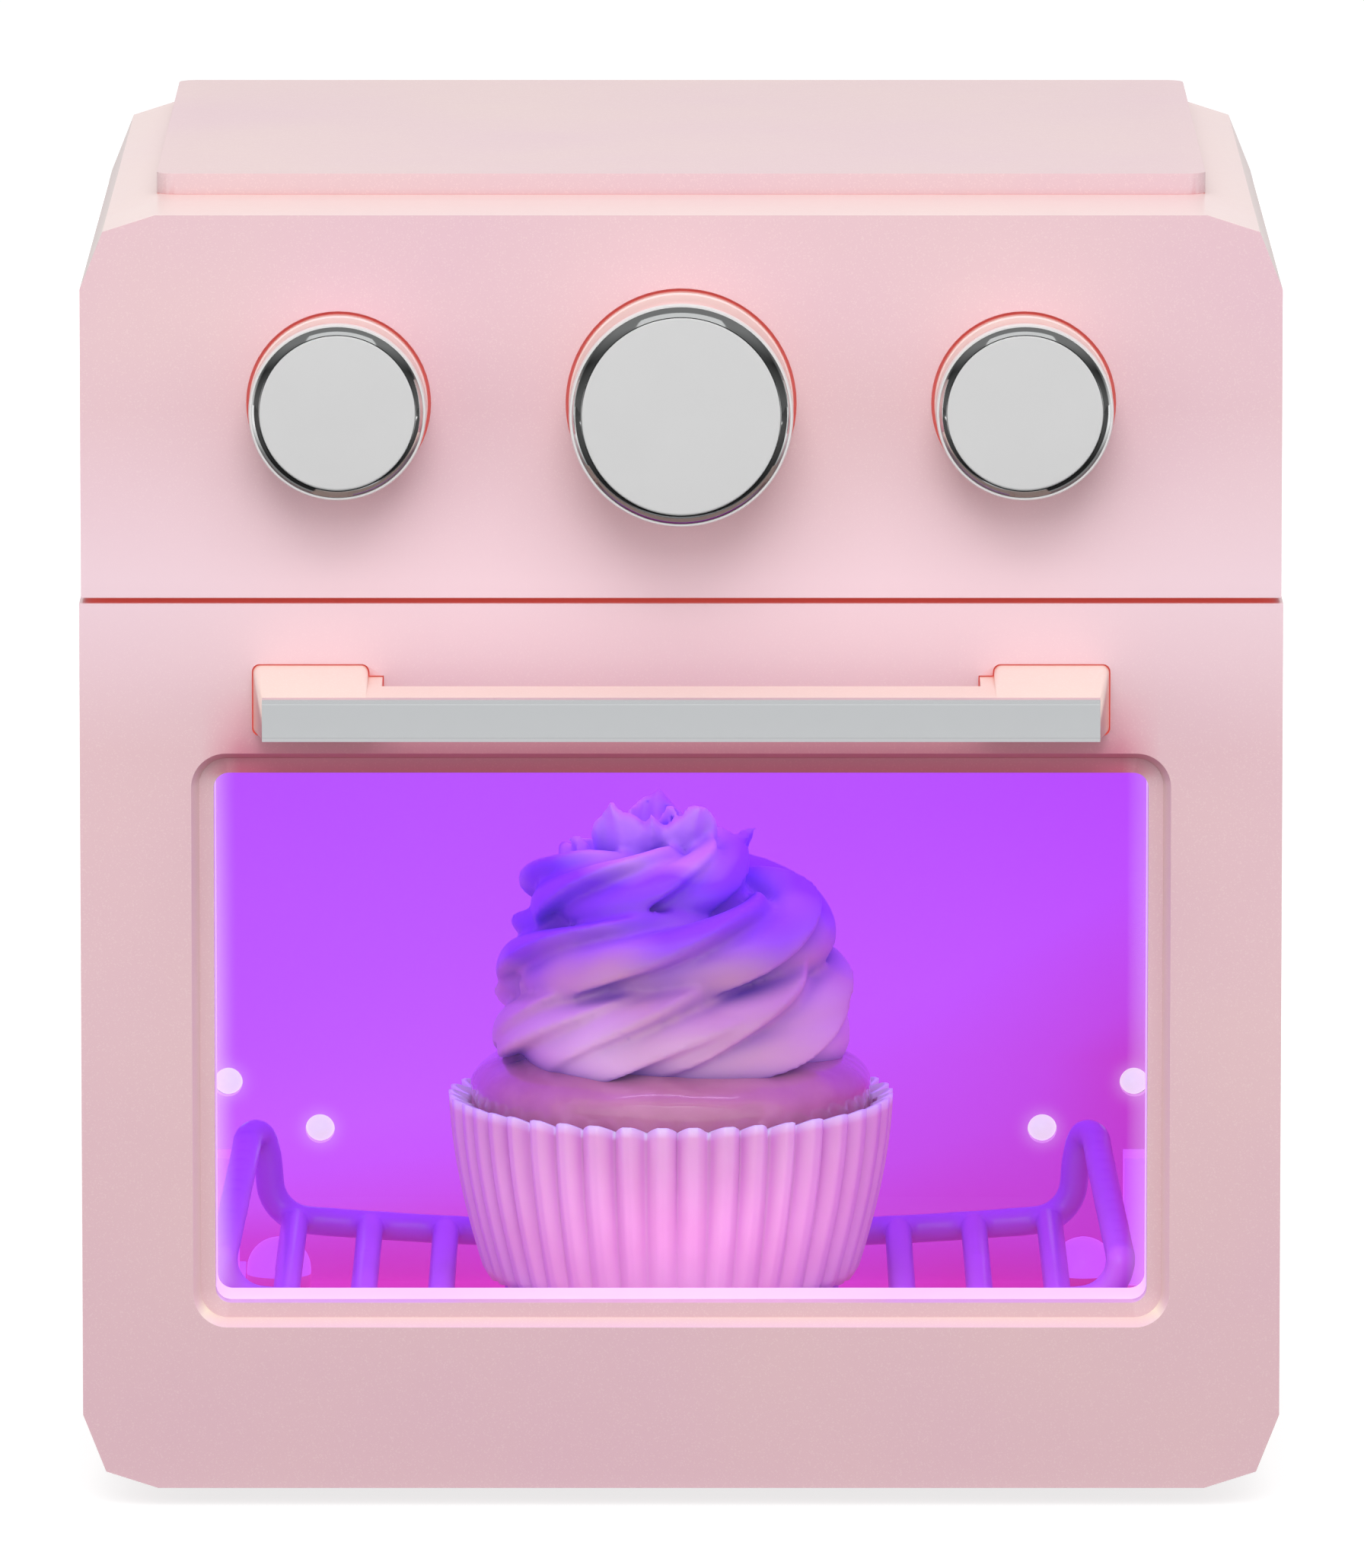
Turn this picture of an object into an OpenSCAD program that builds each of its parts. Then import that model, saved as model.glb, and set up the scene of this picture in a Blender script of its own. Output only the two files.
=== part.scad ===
// Toy oven with a bottom-hinged door, three knobs, a lit cavity, a rack and a play cupcake.
// Millimetres, +Z up, the front faces -Y. Depths below count back from the front faces.

/* [Body] */
// Width of the control panel and the housing
body_w = 125; // [120:1:140]
// Height of the front, from the door's bottom edge to the panel's top edge
body_h = 134.4; // [132:0.2:146]
// Depth from the front faces to the back of the cover
body_d = 108; // [106:1:124]
// Thickness of the outer walls
wall = 2.2; // [1.8:0.1:2.4]
// Sideways run of each faceted corner
corner_run = 7.85; // [6.5:0.05:9]
// Height of each faceted corner
corner_rise = 7.8; // [6.5:0.05:9]
// Sideways run of the steep facet
knee_run = 2.4; // [1.6:0.1:3]
// Height of the shallow facet
knee_rise = 1.75; // [1.2:0.05:2.4]
// Depth of the panel and of the door's space
front_t = 13; // [12.4:0.1:14]
// Height of the control panel
panel_h = 40.1; // [38:0.1:42]
// Gap between the panel and the door
seam_gap = 0.6; // [0.4:0.1:1]
// Diameter of a rubber foot
foot_d = 9; // [7:0.5:11]
// Height of a rubber foot
foot_h = 2; // [1.5:0.1:2.6]
// Distance of the raised top plate from the housing's sides
plate_side = 7.5; // [6.5:0.5:16]
// Height of the raised top plate
plate_t = 2.2; // [1.4:0.1:3]
// Depth at which the top plate starts
plate_front = 18.5; // [14:0.5:26]

/* [Knobs] */
// Height of the knob axes below the panel's top edge
knob_drop = 19.65; // [18.5:0.05:21]
// Distance of a side knob's axis from the panel's side
knob_side = 26.9; // [25:0.1:29]
// Diameter of the centre knob's skirt
big_d = 23.4; // [20:0.1:26]
// Reach of the centre knob in front of the panel
big_out = 11.2; // [9:0.1:13]
// Diameter of a side knob's skirt
small_d = 18.6; // [16:0.1:20]
// Reach of a side knob in front of the panel
small_out = 8.4; // [7:0.1:10]
// Gap around a skirt in its well
well_gap = 0.3; // [0.2:0.05:0.5]
// Depth of a knob's well
well_t = 1.4; // [1:0.1:1.8]
// Diameter of a side knob's stem
stem_d = 6; // [5:0.1:7]
// Diameter of the switch shaft
shaft_d = 4; // [3.4:0.1:5]

/* [Door] */
// How much wider the door is than the panel
door_over = 0.4; // [0:0.1:0.6]
// Gap between the door's back and the housing
door_gap = 0.3; // [0.2:0.05:0.5]
// Depth of the hinge axis behind the front face
hinge_y = 5; // [4.8:0.1:5.4]
// Diameter of a hinge pin
pin_d = 2; // [1.6:0.1:2.4]
// Distance of a hinge ear's middle from the door's side
ear_side = 12.7; // [12:0.1:16]
// Width of a hinge ear
ear_w = 5; // [4:0.2:6]
// Width of the door's face beside the window
window_side = 13.9; // [13.4:0.1:18]
// Height of the door's face above the window
window_head = 18.1; // [17.6:0.1:20]
// Height of the window above the door's bottom edge
window_low = 19.4; // [18.4:0.1:20.4]
// Corner radius of the window
window_r = 1.6; // [1:0.1:2.4]
// Width of the recess around the window
recess_margin = 2.3; // [1.9:0.1:2.6]
// Sideways run of the recess's sloping side
recess_run = 0.75; // [0.4:0.05:1]
// Depth of the recess
recess_t = 1.9; // [1.2:0.1:2.2]
// Thickness of the window pane
pane_t = 1.5; // [1:0.1:1.8]

/* [Handle] */
// Distance of the handle's legs from the door's sides
grip_side = 18.1; // [17.5:0.1:20]
// Width of a leg's high part
leg_w = 12; // [9:0.5:14]
// Height of a leg where it meets the door
leg_h = 7.3; // [6.6:0.1:8]
// Height of the rail
rail_h = 4.4; // [4.2:0.1:5]
// Reach of the handle in front of the door
grip_out = 17; // [15:0.5:19]
// Finger gap behind the rail
finger_gap = 6.8; // [6:0.1:8]
// Thickness of the chromed trim
trim_t = 2; // [1.5:0.1:2.5]
// Height of the rail's middle below the door's top edge
grip_drop = 9.9; // [9.4:0.1:10.4]

/* [Cavity] */
// Space between the cavity and the housing's side wall
cavity_side = 7.3; // [6.8:0.1:9]
// Space between the cavity's ceiling and the level of the panel's lower edge
cavity_roof = 10.3; // [9:0.1:11]
// Height of the cavity floor above the housing's bottom
floor_z = 6.5; // [6.2:0.1:7]
// Distance of the cavity's back wall from the housing's back
cavity_rear = 14; // [14:0.5:16]
// Thickness of the cavity liner
liner_t = 1.6; // [1.2:0.1:1.8]
// Radius of the curve from the floor into the back wall
cove_r = 8; // [5:0.5:9]
// Diameter of the LEDs
led_d = 3; // [2.4:0.1:3.4]
// Distance of the outer LEDs from the cavity's side
led_edge = 3.2; // [3:0.1:5]
// Distance of the inner LEDs from the cavity's side
led_inset = 13.3; // [11:0.1:17]
// Height of the outer LEDs above the cavity floor
led_high = 20.8; // [19:0.1:23]
// Height of the inner LEDs above the cavity floor
led_low = 15.6; // [14:0.1:17]

/* [Rack] */
// Diameter of the rack's rods
rod_d = 3; // [2.4:0.1:3.4]
// Height of the rack's ends above the cavity floor
rack_rise = 7.85; // [7:0.05:9]
// Sag of the rack in its middle
rack_sag = 1.67; // [1:0.01:2]
// Depth of the front rod
rack_front = 31; // [29:0.5:34]
// Distance of the back rod from the cavity's back wall
rack_rear = 14; // [12:0.5:18]
// Distance of an arch's front leg from the cavity's side
arch_front_gap = 5.2; // [4.8:0.1:6.5]
// Distance of an arch's back leg from the cavity's side
arch_back_gap = 9.05; // [8.5:0.05:10.5]
// Height of an arch above the rods
arch_h = 10.3; // [10.2:0.1:13]
// Distance between two bars
bar_pitch = 8.24; // [7.6:0.02:8.4]
// Sideways place of the rack in the cavity
rack_x = -1; // [-1.5:0.1:1.5]

/* [Cupcake] */
// Diameter of the liner's rim
cup_top_d = 47.6; // [44:0.2:49]
// Diameter of the liner's base
cup_base_d = 40.2; // [38:0.2:41]
// Height of the liner
cup_h = 20.4; // [18:0.2:22]
// Number of pleats
pleat_n = 42; // [32:1:48]
// Depth of a pleat
pleat_t = 1.1; // [0.8:0.1:1.4]
// Thickness of the liner's paper
paper_t = 0.5; // [0.4:0.05:0.6]
// Diameter of the frosting at its foot
frosting_d = 41.4; // [38:0.2:42]
// Height of the frosting above the liner's rim
frosting_h = 32.2; // [29:0.2:34]
// Depth of the cupcake's middle
cup_y = 46; // [44:0.5:48]

/* [Power] */
// Diameter of a cell
cell_d = 10.5; // [10.2:0.1:10.5]
// Length of a cell
cell_l = 44.5; // [44:0.1:44.5]
// Number of cells
cell_n = 3; // [2:1:3]
// Thickness of the circuit boards
board_t = 1.6; // [1:0.1:1.8]
// Diameter of a lead
lead_d = 1.4; // [1.2:0.1:1.6]

/* [Hidden] */
$fn = 48;

// Small clearances and fits
eps = 0.01;
run_fit = 0.06;
slip_fit = 0.15;
loose_fit = 0.3;
past = 1;

// Levels and depths of the body
plate_w = body_w - 2 * plate_side;
knob_pitch = body_w / 2 - knob_side;
base_z = foot_h;
top_z = base_z + body_h;
panel_z = top_z - panel_h;
door_top = panel_z - seam_gap;
deck_t = wall;
deck_back = front_t + deck_t;
cover_y = body_d - wall;
y_mid = (body_d - grip_out) / 2;
inner_x = body_w / 2 - wall;
floor_in = base_z + wall;
roof_in = top_z - wall;

// Cavity
cavity_w = body_w - 2 * (wall + cavity_side);
cavity_z = base_z + floor_z;
cavity_top = panel_z - cavity_roof;
cavity_h = cavity_top - cavity_z;
cavity_back = body_d - cavity_rear;
led_far = cavity_w / 2 - led_edge;
led_near = cavity_w / 2 - led_inset;
rack_back = cavity_back - rack_rear;
arch_front = cavity_w / 2 - arch_front_gap;
arch_back = cavity_w / 2 - arch_back_gap;
liner_back = cavity_back + liner_t;
flange_w = 3.6;
side_r = 4;
post_d = 7;
post_top = cavity_z + rack_rise - rod_d / 2 - slip_fit - 0.2;
guide_w = 4.5;
guide_h = 14;
guide_y = cavity_back - 10;
guide_l = 6;

// Door
door_w = body_w + door_over;
ear_x = door_w / 2 - ear_side;
door_t = front_t - door_gap;
door_swing_r = door_t - hinge_y;
hinge_z = base_z + door_swing_r;
window_z = base_z + window_low;
window_h = door_top - window_head - window_z;
window_w = door_w - 2 * window_side;
window_mid = window_z + window_h / 2;
frame_t = 2;
window_pad_t = recess_t + wall;
pane_back = door_t - 0.2;
pane_lap = 1.5;
ear_r = hinge_y - wall - 0.2;
cheek_t = 2.6;
door_post_x = door_w / 2 - wall - 3.4;
door_post_z = [hinge_z + 14, window_mid, door_top - 8];

// Handle
grip_w = door_w - 2 * grip_side;
grip_z = door_top - grip_drop;
leg_x = grip_w / 2 - leg_w / 2;
socket_t = 1.6;
socket_fit = 0.12;
step_w = 1.5;
rail_w = grip_w - 2.6;
grip_pad_t = wall + 2;

// Knobs
knob_z = top_z - knob_drop;
ring_t = 1.9;
rim_in = 0.2;
bevel_w = 1.1;
stem_end = 8;
switch_y = 9;
switch_d = 16;
switch_t = 8;
board_y = switch_y + switch_t;
shaft_in = 6;

// Fasteners
screw_d = 2;
head_d = 4;
head_t = 1.4;
post_r = 2.6;
screw_hole_fit = 0.3;
pan_t = 1;
head_sunk = 0.4;
cover_screw_l = 10;
panel_screw_l = 9;
board_screw_l = 6;
led_screw_l = 5.4;
pilot_spare = 1;

// Corner posts of the housing for the back cover
cover_post_x = inner_x - post_r + 0.4;
cover_post_z = [base_z + 16, top_z - 14];
cover_post_l = 20;
panel_post_x = inner_x - 6;
panel_post_z = [panel_z + 6, top_z - 12];

// Power
holder_wall = 1.5;
cell_pitch = cell_d + 0.7;
contact_t = 0.5;
contact_w = 8;
holder_in_w = cell_l + 2 * contact_t;
holder_in_h = cell_n * cell_pitch;
holder_w = holder_in_w + 2 * holder_wall;
holder_h = holder_in_h + 2 * holder_wall;
holder_z = cavity_top + liner_t + 1 + holder_h / 2;
holder_y = cover_y - cell_d - holder_wall - 0.5;
hatch_t = wall / 2;
hatch_lap = 2;
hatch_tab = 7;
hatch_seat = 0.55;
hatch_head_in = 0.05;
hatch_screw_l = 6;
hatch_boss_l = hatch_screw_l - wall;
hatch_tab_w = 10;
hatch_ribs = [-3:3];
rib_pitch = 2;
rib_half_l = 12;
rib_t = 0.5;
hatch_w = holder_in_w + 2 * hatch_lap;
hatch_h = holder_in_h + 2 * hatch_lap;
hatch_screw_z = holder_z + hatch_h / 2 + hatch_tab / 2;

// Boards
led_tip = 0.4;
led_flange_t = 1;
led_body_l = 5;
led_board_y = cavity_back - led_tip + led_body_l;
led_board_w = 2 * led_far + 8;
led_board_h = led_high - led_low + 14;
led_board_z = cavity_z + (led_high + led_low) / 2;
control_w = 56;
control_h = 30;
led_post_x = 20;
control_post_x = control_w / 2 - 4;
control_post_z = control_h / 2 - 4;

// Rack
rod_r = rod_d / 2;
bar_less = 0.1;
rod_n = 16;
bend_n = 5;
shoulder_n = 6;
rack_z = cavity_z + rack_rise;
bend_r = 4.5;
shoulder_r = 5.6;
half_back = arch_back - bend_r * 0.92;
half_front = arch_front - bend_r * 0.92;
function slope(half) = 2 * atan(rack_sag / half);
function sag_r(half) = (half * half + rack_sag * rack_sag) / (2 * rack_sag);
function leg_at(half) = half + bend_r * (1 - sin(slope(half)));
arch_top = rack_z + arch_h;
leg_back = leg_at(half_back);
bar_n = 2 * floor((arch_back - 2.7) / bar_pitch) + 1;
leg_front = leg_at(half_front);
arch_l = norm([rack_back - rack_front, leg_front - leg_back]);
arch_turn = atan((leg_front - leg_back) / (rack_back - rack_front));
function sag_z(x, half) = rack_z - rack_sag + sag_r(half) - sqrt(pow(sag_r(half), 2) - x * x);

// Cupcake
cup_x = rack_x - 0.1;
cup_z = sag_z(cup_base_d / 2, half_back) + rod_r + 0.05;
cup_base_t = 0.6;
cake_d = frosting_d + 0.4;
rim_z = cup_z + cup_h;
cake_top = rim_z + 3;

// Moves what is drawn from the front faces to the part's own frame
module placed() {
    translate([0, -y_mid, 0]) children();
}

// Extrudes an X-Z drawing from depth y0 to depth y1
module depth(y0, y1) {
    translate([0, y1, 0]) rotate([90, 0, 0]) linear_extrude(y1 - y0) children();
}

// A round bar along Y at x, z
module rod_y(x, z, d, y0, y1) {
    depth(y0, y1) translate([x, z]) circle(d = d);
}

// A round bar along X at depth y and height z
module rod_x(y, z, d, x0, x1) {
    translate([x0, y, z]) rotate([0, 90, 0]) cylinder(d = d, h = x1 - x0);
}

// A block between two corners
module block(a, b) {
    translate(a) cube(b - a);
}

module mirrored() {
    children();
    mirror([1, 0, 0]) children();
}

// A rectangle with round corners, with its middle at the origin
module soft_rect(w, h, r) {
    square([w - 2 * r, h], center = true);
    square([w, h - 2 * r], center = true);
    for (x = [-1, 1], z = [-1, 1])
        translate([x * (w / 2 - r), z * (h / 2 - r)]) circle(r);
}

// One side's outline points of the front, from the bottom up
function half_outline(w, z0, z1, low, high) = concat(
    low ? [[w / 2 - corner_run, z0], [w / 2 - knee_run, z0 + knee_rise], [w / 2, z0 + corner_rise]]
        : [[w / 2, z0]],
    high ? [[w / 2, z1 - corner_rise], [w / 2 - knee_run, z1 - knee_rise], [w / 2 - corner_run, z1]]
        : [[w / 2, z1]]);

// The whole outline, counter-clockwise
function outline(w, z0, z1, low, high) =
    let(right = half_outline(w, z0, z1, low, high), n = len(right))
    concat(right, [for (i = [n - 1:-1:0]) [-right[i][0], right[i][1]]]);

// A convex outline moved inward by t
function unit(v) = v / norm(v);
function left_of(v) = [-v[1], v[0]];
function inset(p, t) = [for (i = [0:len(p) - 1]) let(
    n = len(p),
    a = left_of(unit(p[i] - p[(i + n - 1) % n])),
    b = left_of(unit(p[(i + 1) % n] - p[i])))
    p[i] + t * (a + b) / (1 + a * b)];

body_outline = outline(body_w, base_z, top_z, true, true);
panel_outline = outline(body_w, panel_z, top_z, false, true);
door_outline = outline(door_w, base_z, door_top, true, false);

// A countersunk screw along +Y whose head's back is at depth y, pointing to the front
module screw(x, z, y, l) {
    translate([x, y, z]) rotate([90, 0, 0]) rotate_extrude()
        polygon([[0, 0], [head_d / 2, 0], [head_d / 2, head_t * 0.5], [screw_d / 2, head_t],
            [screw_d / 2, l - 0.6], [0, l]]);
}

// The hole that a screw's head and shank pass through, from the back at depth y
module screw_hole(x, z, y, l) {
    translate([x, y + eps, z]) rotate([90, 0, 0]) rotate_extrude()
        polygon([[0, -past], [head_d / 2 + 0.1, -past], [head_d / 2 + 0.1, head_t * 0.5],
            [screw_d / 2 + 0.1, head_t], [screw_d / 2 + 0.1, l + past], [0, l + past]]);
}

// Pilot bore for a screw, from depth y0 to y1
module pilot(x, z, y0, y1) {
    rod_y(x, z, screw_d + 0.04, y0, y1);
}

module foot_places() {
    for (x = [-1, 1], y = [20, body_d - 12])
        translate([x * (body_w / 2 - corner_run - foot_d / 2 - 1), y, 0]) children();
}

module plate_peg_places() {
    for (x = [-1, 1], y = [plate_front + 8, body_d - 12])
        translate([x * (plate_w / 2 - 8), y, 0]) children();
}

peg_d = 4;
foot_peg_d = 4;

// Housing: a tunnel with a front deck that has the cavity's mouth, an upper opening, the hinge
// ears and posts for the back cover
module housing() {
    color("#e9c3cb") placed() difference() {
        union() {
            difference() {
                depth(front_t, cover_y) polygon(body_outline);
                depth(deck_back, cover_y + past) polygon(inset(body_outline, wall));
            }
            mirrored() for (z = cover_post_z)
                rod_y(cover_post_x, z, 2 * post_r, cover_y - cover_post_l, cover_y);
            mirrored() hinge_ear();
        }
        block([-cavity_w / 2, front_t - past, cavity_z], [cavity_w / 2, deck_back + past, cavity_top]);
        block([-panel_post_x + 6, front_t - past, panel_z + wall + 2],
            [panel_post_x - 6, deck_back + past, roof_in - 1]);
        mirrored() for (z = cover_post_z)
            pilot(cover_post_x, z, body_d - head_sunk - cover_screw_l - pilot_spare, cover_y + past);
        mirrored() for (z = panel_post_z)
            screw_hole(panel_post_x, z, deck_back, deck_t);
        liner_screw_places() pilot(0, 0, front_t + 0.4, deck_back + past);
        foot_places() translate([0, 0, base_z - past]) cylinder(d = foot_peg_d + 0.1, h = wall + 2 * past);
        plate_peg_places() translate([0, 0, roof_in - past]) cylinder(d = peg_d + 0.1, h = wall + 2 * past);
    }
}

// One hinge ear, an arm from the deck with an eye round the pin
module hinge_ear() {
    difference() {
        union() {
            rod_x(hinge_y, hinge_z, 2 * ear_r, ear_x - ear_w / 2, ear_x + ear_w / 2);
            block([ear_x - ear_w / 2, hinge_y, hinge_z - ear_r],
                [ear_x + ear_w / 2, front_t + 1, hinge_z + ear_r]);
        }
        rod_x(hinge_y, hinge_z, pin_d + 2 * run_fit, ear_x - ear_w, ear_x + ear_w);
    }
}

module liner_screw_places() {
    for (x = [-1, 1], z = [cavity_z + 12, cavity_top - 12])
        translate([x * (cavity_w / 2 + liner_t + flange_w / 2 + 0.1), 0, z]) children();
}

// Control panel: a tray with three wells, posts for the board and for its own screws
module control_panel() {
    color("#e8c6ce") placed() difference() {
        union() {
            difference() {
                depth(0, front_t) polygon(panel_outline);
                depth(wall, front_t + past) polygon(inset(panel_outline, wall));
            }
            for (i = [-1, 0, 1])
                rod_y(i * knob_pitch, knob_z, (i == 0 ? big_d : small_d) + 2 * well_gap + 2 * wall,
                    wall / 2, well_t + wall);
            for (i = [-1, 1]) rod_y(i * knob_pitch, knob_z, stem_d + 4, well_t, stem_end - 0.2);
            mirrored() for (z = panel_post_z) rod_y(panel_post_x, z, 2 * post_r, wall / 2, front_t);
            mirrored() for (z = [-1, 1])
                rod_y(control_post_x, knob_z + z * control_post_z, 2 * post_r, wall / 2, board_y);
        }
        for (i = [-1, 0, 1])
            rod_y(i * knob_pitch, knob_z, (i == 0 ? big_d : small_d) + 2 * well_gap, -past, well_t);
        for (i = [-1, 1]) rod_y(i * knob_pitch, knob_z, stem_d + 2 * run_fit, -past, stem_end + past);
        rod_y(0, knob_z, shaft_d + 2 * loose_fit, -past, front_t);
        mirrored() for (z = panel_post_z) pilot(panel_post_x, z, wall + 0.5, front_t + past);
        mirrored() for (z = [-1, 1])
            pilot(control_post_x, knob_z + z * control_post_z, board_y - board_screw_l - pilot_spare,
                board_y + past);
    }
}

module panel_screws() {
    color("silver") placed() mirrored() for (z = panel_post_z)
        screw(panel_post_x, z, deck_back, panel_screw_l);
}

// Raised plate on the roof, held by four pegs
module top_plate() {
    color("#efd9db") placed() {
        translate([0, (plate_front + body_d - 1) / 2, top_z]) linear_extrude(plate_t)
            soft_rect(plate_w, body_d - 1 - plate_front, 2);
        plate_peg_places() translate([0, 0, roof_in - 1.2]) cylinder(d = peg_d, h = wall + 1.2 + eps);
    }
}

module rubber_feet() {
    color("#8d8286") placed() foot_places() {
        cylinder(d = foot_d, h = foot_h);
        cylinder(d = foot_peg_d, h = foot_h + wall + 1);
    }
}

// Back cover with the battery opening, a ledge for its door and a boss for the door's screw
module back_cover() {
    color("#e9c3cb") placed() difference() {
        union() {
            depth(cover_y, body_d) polygon(body_outline);
            for (z = [floor_in + 1, roof_in - 1])
                block([-inner_x + 14, cover_y - 3, z - 0.8], [inner_x - 14, cover_y + eps, z + 0.8]);
            rod_y(0, hatch_screw_z, 2 * post_r, cover_y - hatch_boss_l - pilot_spare, cover_y + eps);
        }
        mirrored() for (z = cover_post_z) screw_hole(cover_post_x, z, body_d - head_sunk, wall);
        depth(cover_y - past, body_d + past) translate([0, holder_z])
            square([holder_in_w, holder_in_h], center = true);
        depth(body_d - hatch_t, body_d + past) hatch_shape(slip_fit);
        pilot(0, hatch_screw_z, cover_y - hatch_boss_l - pilot_spare / 2, body_d);
    }
}

// The battery door's outline, grown by a fit
module hatch_shape(grow) {
    translate([0, holder_z]) square([hatch_w + 2 * grow, hatch_h + 2 * grow], center = true);
    translate([0, hatch_screw_z - 1]) square([hatch_tab_w + 2 * grow, hatch_tab + 2 * grow], center = true);
}

module battery_door() {
    color("#e9c3cb") placed() difference() {
        union() {
            depth(body_d - hatch_t, body_d) hatch_shape(0);
            depth(cover_y, body_d - hatch_t + eps) translate([0, holder_z])
                square([holder_in_w - 1, holder_in_h - 1], center = true);
        }
        rod_y(0, hatch_screw_z, screw_d + screw_hole_fit, cover_y, body_d + past);
        rod_y(0, hatch_screw_z, head_d + screw_hole_fit, body_d - hatch_seat, body_d + past);
        for (i = hatch_ribs) block([-rib_half_l, body_d - rib_t, holder_z + i * rib_pitch - rib_t],
            [rib_half_l, body_d + past, holder_z + i * rib_pitch + rib_t]);
    }
}

// The battery door's screw, its flat head sunk in the door's counterbore
module battery_door_screw() {
    color("silver") placed() {
        rod_y(0, hatch_screw_z, head_d, body_d - hatch_seat, body_d - hatch_head_in);
        rod_y(0, hatch_screw_z, screw_d, body_d - hatch_screw_l, body_d - hatch_seat + eps);
    }
}

// A pan-head screw whose head lies on the face at depth y
module pan_screw(x, z, y, l) {
    rod_y(x, z, head_d, y, y + pan_t);
    rod_y(x, z, screw_d, y - l, y + eps);
}

module back_screws() {
    color("silver") placed() mirrored() for (z = cover_post_z)
        screw(cover_post_x, z, body_d - head_sunk, cover_screw_l);
}

// The cavity's hollow as seen from the side and from above, grown by t
module cavity_shape(t, y0) {
    intersection() {
        translate([-cavity_w, 0, 0]) rotate([90, 0, 90]) linear_extrude(2 * cavity_w)
            side_profile(t, y0);
        translate([0, 0, cavity_z - 5]) linear_extrude(cavity_h + 10) plan_profile(t, y0);
    }
}

module side_profile(t, y0) {
    yb = cavity_back + t;
    z0 = cavity_z - t;
    z1 = cavity_top + t;
    translate([y0, z0]) square([yb - y0 - cove_r - t, z1 - z0]);
    translate([y0, z0 + cove_r + t]) square([yb - y0 - side_r - t, z1 - z0 - cove_r - t]);
    translate([y0, z0 + cove_r + t]) square([yb - y0, z1 - z0 - cove_r - side_r - 2 * t]);
    translate([yb - cove_r - t, z0 + cove_r + t]) circle(cove_r + t);
    translate([yb - side_r - t, z1 - side_r - t]) circle(side_r + t);
}

module plan_profile(t, y0) {
    w = cavity_w / 2 + t;
    yb = cavity_back + t;
    translate([-w, y0]) square([2 * w, yb - y0 - side_r - t]);
    translate([-w + side_r + t, y0]) square([2 * (w - side_r - t), yb - y0]);
    for (s = [-1, 1]) translate([s * (w - side_r - t), yb - side_r - t]) circle(side_r + t);
}

module led_places() {
    for (s = [-1, 1]) {
        translate([s * led_far, 0, cavity_z + led_high]) children();
        translate([s * led_near, 0, cavity_z + led_low]) children();
    }
}

// Cavity liner: a thin box, open at the front, with a flange, posts and side guides for the rack
module cavity_liner() {
    color("#cf62e8") placed() difference() {
        union() {
            difference() {
                union() {
                    cavity_shape(liner_t, deck_back);
                    depth(deck_back, deck_back + liner_t) translate([0, cavity_z + cavity_h / 2])
                        soft_rect(cavity_w + 2 * (liner_t + flange_w), cavity_h + 2 * liner_t, 1);
                }
                cavity_shape(0, deck_back - past);
            }
            intersection() {
                cavity_shape(liner_t / 2, deck_back);
                union() {
                    post(arch_back, rack_back);
                    post(arch_front - bend_r - 2, rack_front);
                    mirrored() guide();
                }
            }
        }
        led_places() rod_y(0, 0, led_d + 0.2, cavity_back - past, liner_back + past);
        liner_screw_places()
            rod_y(0, 0, screw_d + screw_hole_fit, deck_back - past, deck_back + liner_t + past);
        for (s = [-1, 1]) pilot(s * led_post_x, led_board_z, cavity_back + 0.6, liner_back + 5);
    }
    color("#cf62e8") placed() difference() {
        for (s = [-1, 1]) rod_y(s * led_post_x, led_board_z, 5, liner_back - 0.1, led_board_y);
        for (s = [-1, 1]) pilot(s * led_post_x, led_board_z, cavity_back + 0.6, led_board_y + past);
    }
}

// A pair of round-topped posts under the rack
module post(x, y) {
    for (s = [-1, 1]) translate([s * x, y, 0]) {
        translate([0, 0, cavity_z - liner_t / 2])
            cylinder(d = post_d, h = post_top - post_d / 2 - cavity_z + liner_t / 2);
        translate([0, 0, post_top - post_d / 2]) sphere(d = post_d);
    }
}

module guide() {
    block([cavity_w / 2 - guide_w, guide_y, cavity_z - liner_t / 2],
        [cavity_w / 2 + liner_t / 2, guide_y + guide_l, cavity_z + guide_h]);
}

module liner_screws() {
    color("silver") placed() liner_screw_places() {
        rod_y(0, 0, head_d - 0.6, deck_back + liner_t, deck_back + liner_t + 1);
        rod_y(0, 0, screw_d, front_t + 0.6, deck_back + liner_t + eps);
    }
}

// LEDs whose domes reach just through the back wall
module leds() {
    color("#f3ecff") placed() led_places() {
        rod_y(0, 0, led_d, cavity_back - led_tip + led_d / 2, led_board_y);
        translate([0, cavity_back - led_tip + led_d / 2, 0]) sphere(d = led_d);
        rod_y(0, 0, led_d + 0.8, led_board_y - led_flange_t, led_board_y);
    }
}

module led_board() {
    color("#2f6b3c") placed() difference() {
        depth(led_board_y, led_board_y + board_t) translate([0, led_board_z])
            square([led_board_w, led_board_h], center = true);
        for (s = [-1, 1]) rod_y(s * led_post_x, led_board_z, screw_d + screw_hole_fit,
            led_board_y - past, led_board_y + board_t + past);
    }
}

module led_board_screws() {
    color("silver") placed() for (s = [-1, 1])
        pan_screw(s * led_post_x, led_board_z, led_board_y + board_t, led_screw_l);
}

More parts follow.
